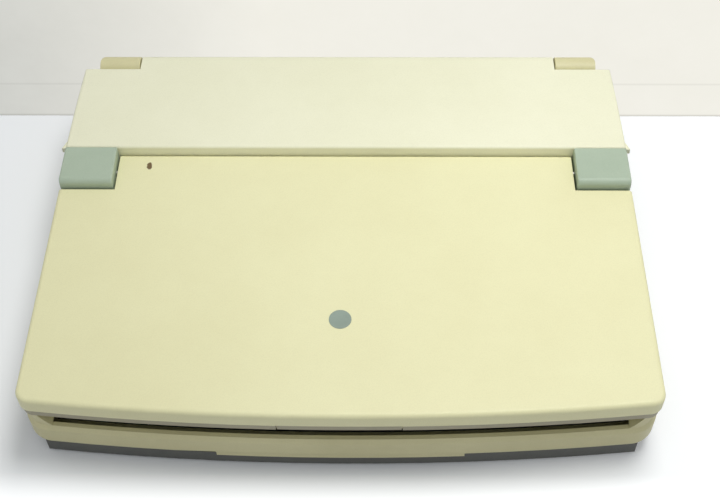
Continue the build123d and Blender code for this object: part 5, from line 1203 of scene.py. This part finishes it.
# Printer bay.
@dataclass
class PrinterBay:
    """The cassette's spools and ribbon, and the screws of the printer's frame, in millimetres."""

    maker: Maker
    spool_in: float = 13.0        # from the cassette's rear to the spools' middles
    spool_z: Span = (-11.4, -0.4)
    spool_radius: float = 3.3
    spool_wall: float = 0.9
    spool_depth: float = 6.0
    tooth_ring: float = 2.1
    tooth_half: float = 0.35
    tooth_z: Span = (-5.5, -0.3)
    film_height: float = 5.6
    film_lift: float = 2.6
    film_gap: float = 0.12
    film_thickness: float = 0.05
    film_nose: float = 0.1
    film_in: float = 0.6
    film_x: tuple[float, float, float] = (24.0, 7.5, 5.0)
    screw_x: tuple[float, ...] = (-124.0, -60.0, 60.0, 124.0)
    screw_in: Span = (6.0, 5.0)
    screw_size: Span = (2.6, 1.5)
    screw_cross: Span = (1.5, 0.25)
    screw_cross_z: Span = (1.42, 1.56)
    sheet: float = 1.5

    def build(self) -> None:
        """Makes all of it."""
        low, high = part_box("ribbon_cassette")
        self.build_spools(low / MM, high / MM)
        self.build_ribbon(low / MM, high / MM)
        self.build_screws()

    def build_spools(self, low: Vector, high: Vector) -> None:
        """The two spools, with six drive teeth inside each.

        Args:
            low: The cassette's lowest corner.
            high: Its highest corner.
        """
        mesh = bmesh.new()
        y = high.y - self.spool_in
        z0, z1 = (high.z + z for z in self.spool_z)
        half = self.tooth_half
        for side in (-1, 1):
            x = (low.x + high.x) / 2 + side * (high.x - low.x) / 4
            disc(mesh, x, y, z0, z1, self.spool_radius, 0.2, 24)
            top = facing(mesh, x, y)
            bmesh.ops.inset_region(mesh, faces=[top], thickness=self.spool_wall * MM)
            sunk = bmesh.ops.extrude_discrete_faces(mesh, faces=[top])["faces"]
            move(mesh, sunk[0].verts, 0.0, 0.0, -self.spool_depth)
            for i in range(6):
                tooth_x = x + self.tooth_ring * cos(i * pi / 3)
                tooth_y = y + self.tooth_ring * sin(i * pi / 3)
                block(mesh, (tooth_x - half, tooth_y - half, z1 + self.tooth_z[0]),
                      (tooth_x + half, tooth_y + half, z1 + self.tooth_z[1]), 0.1)
        self.maker.piece("cassette_spools", mesh, "gear_plastic", "carriage", "gear_plastic")

    def build_ribbon(self, low: Vector, high: Vector) -> None:
        """The film ribbon, drawn out of the cassette round the head.

        Args:
            low: The cassette's lowest corner.
            high: Its highest corner.
        """
        head_low, head_high = (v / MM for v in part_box("thermal_head"))
        middle = (low.x + high.x) / 2
        rear = head_high.y + self.film_gap
        half = list(zip(self.film_x, (high.y - self.film_in, rear, rear + self.film_nose)))
        path = [(-x, y) for x, y in half] + half[::-1]
        mesh = bmesh.new()
        bmesh.ops.create_grid(mesh, x_segments=len(path) - 1, y_segments=1, size=0.5)
        columns = sorted({round(v.co.x, 4) for v in mesh.verts})
        z = head_low.z + self.film_lift + self.film_height / 2
        for vert in mesh.verts:
            x, y = path[columns.index(round(vert.co.x, 4))]
            vert.co = Vector((middle + x, y, z + vert.co.y * self.film_height)) * MM
        bmesh.ops.solidify(mesh, geom=mesh.faces[:], thickness=self.film_thickness * MM)
        bmesh.ops.recalc_face_normals(mesh, faces=mesh.faces)
        self.maker.piece("ribbon_film_strip", mesh, "ribbon_film", "carriage")

    def build_screws(self) -> None:
        """Cross-headed screws along the frame's floor."""
        low, high = (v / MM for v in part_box("printer_chassis"))
        z = low.z + self.sheet
        radius, height = self.screw_size
        long, thin = self.screw_cross
        z0, z1 = (z + rise for rise in self.screw_cross_z)
        mesh = bmesh.new()
        for x in self.screw_x:
            for y in (low.y + self.screw_in[0], high.y - self.screw_in[1]):
                disc(mesh, x, y, z, z + height, radius, 0.3, 20)
                for dx, dy in ((thin, long), (long, thin)):
                    block(mesh, (x - dx, y - dy, z0), (x + dx, y + dy, z1))
        self.maker.piece("frame_screws", mesh, "steel", "base", "steel")


# Base.
@dataclass
class BaseDetails:
    """The controls' marks, the drive's lamp, the feet and the pan's ribs, in millimetres."""

    maker: Maker
    lettering: Lettering
    mark_z: float = 36.52
    mark_size: float = 2.2
    mark_front: float = 7.0
    off_x: float = 2.0
    on_x: float = 11.5
    control_y: float = 12.0
    switch_x: float = -122.0
    dial_x: float = 118.0
    sign_left: float = 9.0
    sign_radii: tuple[float, float, float] = (2.4, 2.0, 1.6)
    sign_faces: int = 28
    lamp_x: Span = (-0.5, 0.35)   # from the drive's front, left side and top
    lamp_y: Span = (9.0, 14.0)
    lamp_z: Span = (-8.6, -7.2)
    lamp_edge: float = 0.25
    foot_height: float = 1.5
    groove_in: float = 1.6
    groove: Span = (0.3, 0.5)
    rib_half: float = 0.6
    rib_pitch: float = 22.0
    rib_z: float = 0.9
    rib_x: Span = (-112.0, 112.0)
    rib_y: Span = (-88.0, 58.0)
    rib_sink: float = 0.1
    rib_edge: float = 0.2
    plate_low: Place = (-38.0, 72.0, 1.1)
    plate_rear: Span = (38.0, 104.0)

    def build(self) -> None:
        """Makes all of it."""
        self.build_marks()
        self.build_lamp()
        self.build_feet()
        self.build_ribs()

    def build_marks(self) -> None:
        """ON and OFF by the switch, and the contrast sign by the wheel."""
        mesh = bmesh.new()
        for text, right in (("OFF", self.off_x), ("ON", self.on_x)):
            self.lettering.put(mesh, text, self.mark_size, self.switch_x + right,
                               self.control_y - self.mark_front, self.mark_z)
        x = self.dial_x - self.sign_left
        ring, inner, fill = (
            bmesh.ops.create_circle(mesh, cap_ends=filled, segments=self.sign_faces,
                                    radius=radius * MM)["verts"]
            for filled, radius in zip((False, False, True), self.sign_radii))
        edges = list({e for v in ring + inner for e in v.link_edges})
        bmesh.ops.bridge_loops(mesh, edges=edges)
        move(mesh, ring + inner + fill, x, self.control_y, self.mark_z)
        cut = [v for v in fill if v.co.x < (x - 0.01) * MM]
        bmesh.ops.scale(mesh, vec=(0.02, 1.0, 1.0), verts=cut,
                        space=Matrix.Translation((-x * MM, 0.0, 0.0)))
        bmesh.ops.recalc_face_normals(mesh, faces=mesh.faces)
        self.maker.piece("control_marks", mesh, "legend_ink", "base")

    def build_lamp(self) -> None:
        """The disk drive's little lamp, in its bezel."""
        low, high = (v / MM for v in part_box("floppy_drive"))
        mesh = bmesh.new()
        start, end = ((high.x + self.lamp_x[i], low.y + self.lamp_y[i], high.z + self.lamp_z[i])
                      for i in (0, 1))
        block(mesh, start, end, self.lamp_edge, 2)
        self.maker.piece("drive_lamp", mesh, "lamp_lens", "base")

    def build_feet(self) -> None:
        """Four rubber feet with a groove and a dished middle."""
        mesh = bmesh.new()
        for low, high in islands("rubber_feet"):
            x, y = (low.x + high.x) / 2, (low.y + high.y) / 2
            disc(mesh, x, y, low.z, high.z, (high.x - low.x) / 2, 0.35, 48)
            under = facing(mesh, x, y, -1)
            bmesh.ops.inset_region(mesh, faces=[under], thickness=self.groove_in * MM)
            bmesh.ops.inset_region(mesh, faces=[under], thickness=self.groove[0] * MM,
                                   depth=-self.groove[1] * MM)
        self.maker.piece("rubber_feet_grooved", mesh, "black_rubber", "base", "black_rubber",
                         ("rubber_feet",))

    def build_ribs(self) -> None:
        """Low stiffening ribs and a bare plate under the pan."""
        mesh = bmesh.new()
        top = self.foot_height + self.rib_sink
        half = self.rib_half
        (x0, x1), (y0, y1) = self.rib_x, self.rib_y
        for x in (i * self.rib_pitch for i in range(-5, 6)):
            block(mesh, (x - half, y0, self.rib_z), (x + half, y1, top), self.rib_edge)
        for y in (y0, (y0 + y1) / 2, y1):
            block(mesh, (x0, y - half, self.rib_z), (x1, y + half, top), self.rib_edge)
        self.maker.piece("pan_ribs", mesh, "dark_plastic", "base", "dark_plastic")
        mesh = bmesh.new()
        block(mesh, self.plate_low, (*self.plate_rear, top), self.rib_edge)
        self.maker.piece("blank_plate", mesh, "plated_sheet", "base", "plated_sheet")


# Electronics.
@dataclass
class Electronics:
    """The legs of the chips on the main board, in millimetres."""

    maker: Maker
    leg_pitch: float = 2.54
    leg_width: float = 0.5
    leg_reach: float = 1.1
    leg_under: float = 0.2
    leg_height: float = 1.4

    def build(self) -> None:
        """Makes a row of legs along the two long sides of every chip."""
        mesh = bmesh.new()
        for low, high in islands("board_chips"):
            count = int((high.x - low.x) / self.leg_pitch)
            first = (low.x + high.x - (count - 1) * self.leg_pitch) / 2 - self.leg_width / 2
            for i in range(count):
                x = first + i * self.leg_pitch
                for y0, y1 in ((low.y - self.leg_reach, low.y + self.leg_under),
                               (high.y - self.leg_under, high.y + self.leg_reach)):
                    block(mesh, (x, y0, low.z), (x + self.leg_width, y1, low.z + self.leg_height))
        self.maker.piece("chip_legs", mesh, "steel", "base", "steel")


# Studio.
@dataclass
class Studio:
    """The camera, the floor, the wall behind, the lamp and the room's light, in metres."""

    wall_y: float = 0.1345
    wall_height: float = 0.6
    shelf_z: float = 0.030
    reach: float = 6.0
    lens: float = 60.35
    sensor: float = 36.0
    eye: Place = (0.0195, -0.4464, 0.5929)
    aim: Place = (52.01, -1.32, -0.86)          # pitch down, yaw and roll, in degrees
    key_place: Place = (0.24, 0.12, 1.1)
    key_aim: Place = (0.12, 0.0, 0.0)
    key_size: float = 0.5
    key_power: float = 1.37
    key_spread: float = 80.0
    key_colour: Colour = (1.0, 0.995, 0.985)
    room_colour: Colour = (0.96, 0.98, 1.0)
    room_front: float = 0.58
    room_back: float = 0.4
    room_seen: float = 0.92
    # Painted light on the floor, seen by the view only.
    painted_light_front: float = 0.8
    painted_light_right: float = 0.2
    painted_light_left: float = 0.06

    def build(self) -> None:
        """Makes all of it."""
        self.build_camera()
        self.build_floor()
        self.build_wall()
        self.build_lamp()
        self.build_room()

    def build_camera(self) -> None:
        """The camera at the photograph's angle."""
        data = bpy.data.cameras.new("view")
        data.sensor_width = self.sensor
        data.lens = self.lens
        data.clip_start = 0.01
        pitch, yaw, roll = (radians(v) for v in self.aim)
        ahead = Vector((sin(yaw) * cos(pitch), cos(yaw) * cos(pitch), -sin(pitch)))
        right = Vector((cos(yaw), -sin(yaw), 0.0))
        up = right.cross(ahead)
        turn = Matrix((right * cos(roll) + up * sin(roll), up * cos(roll) - right * sin(roll),
                       -ahead)).transposed().to_4x4()
        camera = add_object("view", data)
        camera.matrix_world = Matrix.Translation(self.eye) @ turn
        bpy.context.scene.camera = camera

    def sheet(self, name: str, size: Span, place: Matrix) -> MaterialGraph:
        """A flat backdrop of one face with a bare material.

        Args:
            name: Its name.
            size: Its width and height.
            place: Where it stands.

        Returns:
            Its material's graph.
        """
        mesh = bmesh.new()
        made = bmesh.ops.create_grid(mesh, x_segments=1, y_segments=1, size=0.5)["verts"]
        bmesh.ops.scale(mesh, vec=(*size, 1.0), verts=made)
        bmesh.ops.transform(mesh, matrix=place, verts=made)
        data = settle(mesh, name)
        g = MaterialGraph(name)
        data.materials.append(g.material)
        backdrop = add_object(name, data)
        return g

    def seen(self, g: Graph) -> Socket:
        """Whether a ray comes from the view, straight or by a mirror or glass.

        Args:
            g: The graph that it goes into.

        Returns:
            1 for such a ray and 0 for another.
        """
        path = g.add("LightPath").outputs
        straight = g.math("MAXIMUM", path["Is Camera Ray"], path["Is Glossy Ray"])
        return g.math("MAXIMUM", straight, path["Is Transmission Ray"])

    def build_floor(self) -> None:
        """The pale table, which looks white and throws back a little less light; painted light
        makes it glow more to the front, the right and the far left.
        """
        g = self.sheet("floor", (2 * self.reach, 2 * self.reach), Matrix.Identity(4))
        cloud = g.ramp(g.noise(g.coords(), 3.0, 2.0), 0.3, 0.7, 0.0, 0.06)
        look = g.mix(cloud, linear(252, 254, 255), linear(240, 243, 246))
        where = g.axes()
        # Painted light: for the view, the floor glows more away from the machine's front, to the
        # right and at the far left.
        near = g.ramp(where[1], -0.137, -0.185, 0.0, self.painted_light_front)
        right = g.ramp(where[0], 0.05, 0.3, 0.0, self.painted_light_right)
        left = g.ramp(where[0], -0.176, -0.2, 0.0, self.painted_light_left)
        painted_floor_light = g.times(g.plus(near, g.plus(right, left)), self.seen(g))
        g.surface({"Base Color": g.mix(self.seen(g), linear(168, 168, 170), look),
                   "Emission Color": g.mix(painted_floor_light, linear(0, 0, 0), linear(255, 255, 255)),
                   "Emission Strength": 1.0, "Roughness": 0.85})

    def build_wall(self) -> None:
        """A wall that only the view and the reflections meet, and only from its front; its glow has
        painted shade, darker to the left and along its foot.
        """
        place = (Matrix.Translation((0.0, self.wall_y, self.wall_height / 2))
                 @ Matrix.Rotation(radians(90), 4, "X"))
        g = self.sheet("wall", (2 * self.reach, self.wall_height), place)
        where = g.axes()
        cloud = g.ramp(g.noise(g.coords(), 26.0, 4.0, 0.7), 0.3, 0.7, 0.0, 0.5)
        # Painted shade: the wall's glow darkens towards the left, where less light falls.
        painted_shade_left = g.mix(cloud, linear(206, 207, 202), linear(196, 197, 192))
        bright = g.mix(cloud, linear(243, 241, 232), linear(238, 236, 226))
        tone = g.mix(g.ramp(where[0], -0.25, -0.05), painted_shade_left, bright)
        # Painted shade along the wall's foot, where it meets the floor, and a thin dark line at
        # shelf_z.
        foot = g.ramp(where[2], 0.0022, 0.0008, 0.0, 0.3)
        shelf = g.ramp(g.apart(where[2], self.shelf_z), 0.0011, 0.0005, 0.0, 0.10)
        tone = g.mix(g.math("MAXIMUM", foot, shelf), tone, linear(120, 118, 112))
        g.surface({"Base Color": (0.0, 0.0, 0.0), "Specular IOR Level": 0.0,
                   "Emission Color": tone, "Emission Strength": 1.0})
        front = g.less(1.0, g.add("NewGeometry").outputs["Backfacing"])
        shown = g.add("MixShader", {0: g.times(self.seen(g), front),
                                    1: g.add("BsdfTransparent").outputs[0],
                                    2: g.shader.outputs[0]})
        g.join(shown.outputs[0], g.out.inputs["Surface"])

    def build_lamp(self) -> None:
        """A soft lamp above the machine, a little to the right and behind."""
        data = bpy.data.lights.new("key", "AREA")
        data.shape = "DISK"
        data.size = self.key_size
        data.energy = self.key_power
        data.spread = radians(self.key_spread)
        data.color = self.key_colour
        lamp = add_object("key", data)
        lamp.visible_camera = False
        aim = Vector(self.key_aim) - Vector(self.key_place)
        lamp.matrix_world = (Matrix.Translation(self.key_place)
                             @ aim.to_track_quat("-Z", "Y").to_matrix().to_4x4())

    def build_room(self) -> None:
        """The light of the room, weaker from the back, which looks pale to the view."""
        world = bpy.data.worlds.new("room")
        world.use_nodes = True
        world.node_tree.nodes.clear()
        g = Graph(world.node_tree)
        seen = g.add("LightPath").outputs["Is Camera Ray"]
        way = g.add("SeparateXYZ", {0: g.add("TexCoord").outputs["Generated"]}).outputs[1]
        room = g.ramp(way, -0.7, 0.7, self.room_front, self.room_back)
        strength = g.plus(g.times(seen, self.room_seen), g.times(g.less(1.0, seen), room))
        sky = g.add("Background", {"Color": self.room_colour, "Strength": strength})
        g.add("OutputWorld", {"Surface": sky.outputs[0]})
        bpy.context.scene.world = world


def dress_nodes(finishes: Finishes) -> None:
    """Gives every carried-over node its own finish, or that of its slot.

    Args:
        finishes: The machine's finishes.
    """
    for name, node in NODES.items():
        finish = OWN_FINISH.get(name, node.data.materials[0].name)
        node.data.materials[0] = finishes.get(finish)
        log.info("%s takes %s", name, finish)


def main() -> None:
    """Builds and dresses the machine."""
    logging.basicConfig(level=logging.INFO, format="%(message)s")
    bpy.context.scene.view_settings.view_transform = "Standard"
    build_effects()
    Studio().build()
    finishes = Finishes()
    maker = Maker(finishes)
    lettering = Lettering()
    Keyboard(maker, lettering).build()
    ScreenLid(maker).build()
    PrinterBay(maker).build()
    BaseDetails(maker, lettering).build()
    Electronics(maker).build()
    dress_nodes(finishes)


if __name__ == "__main__":
    main()
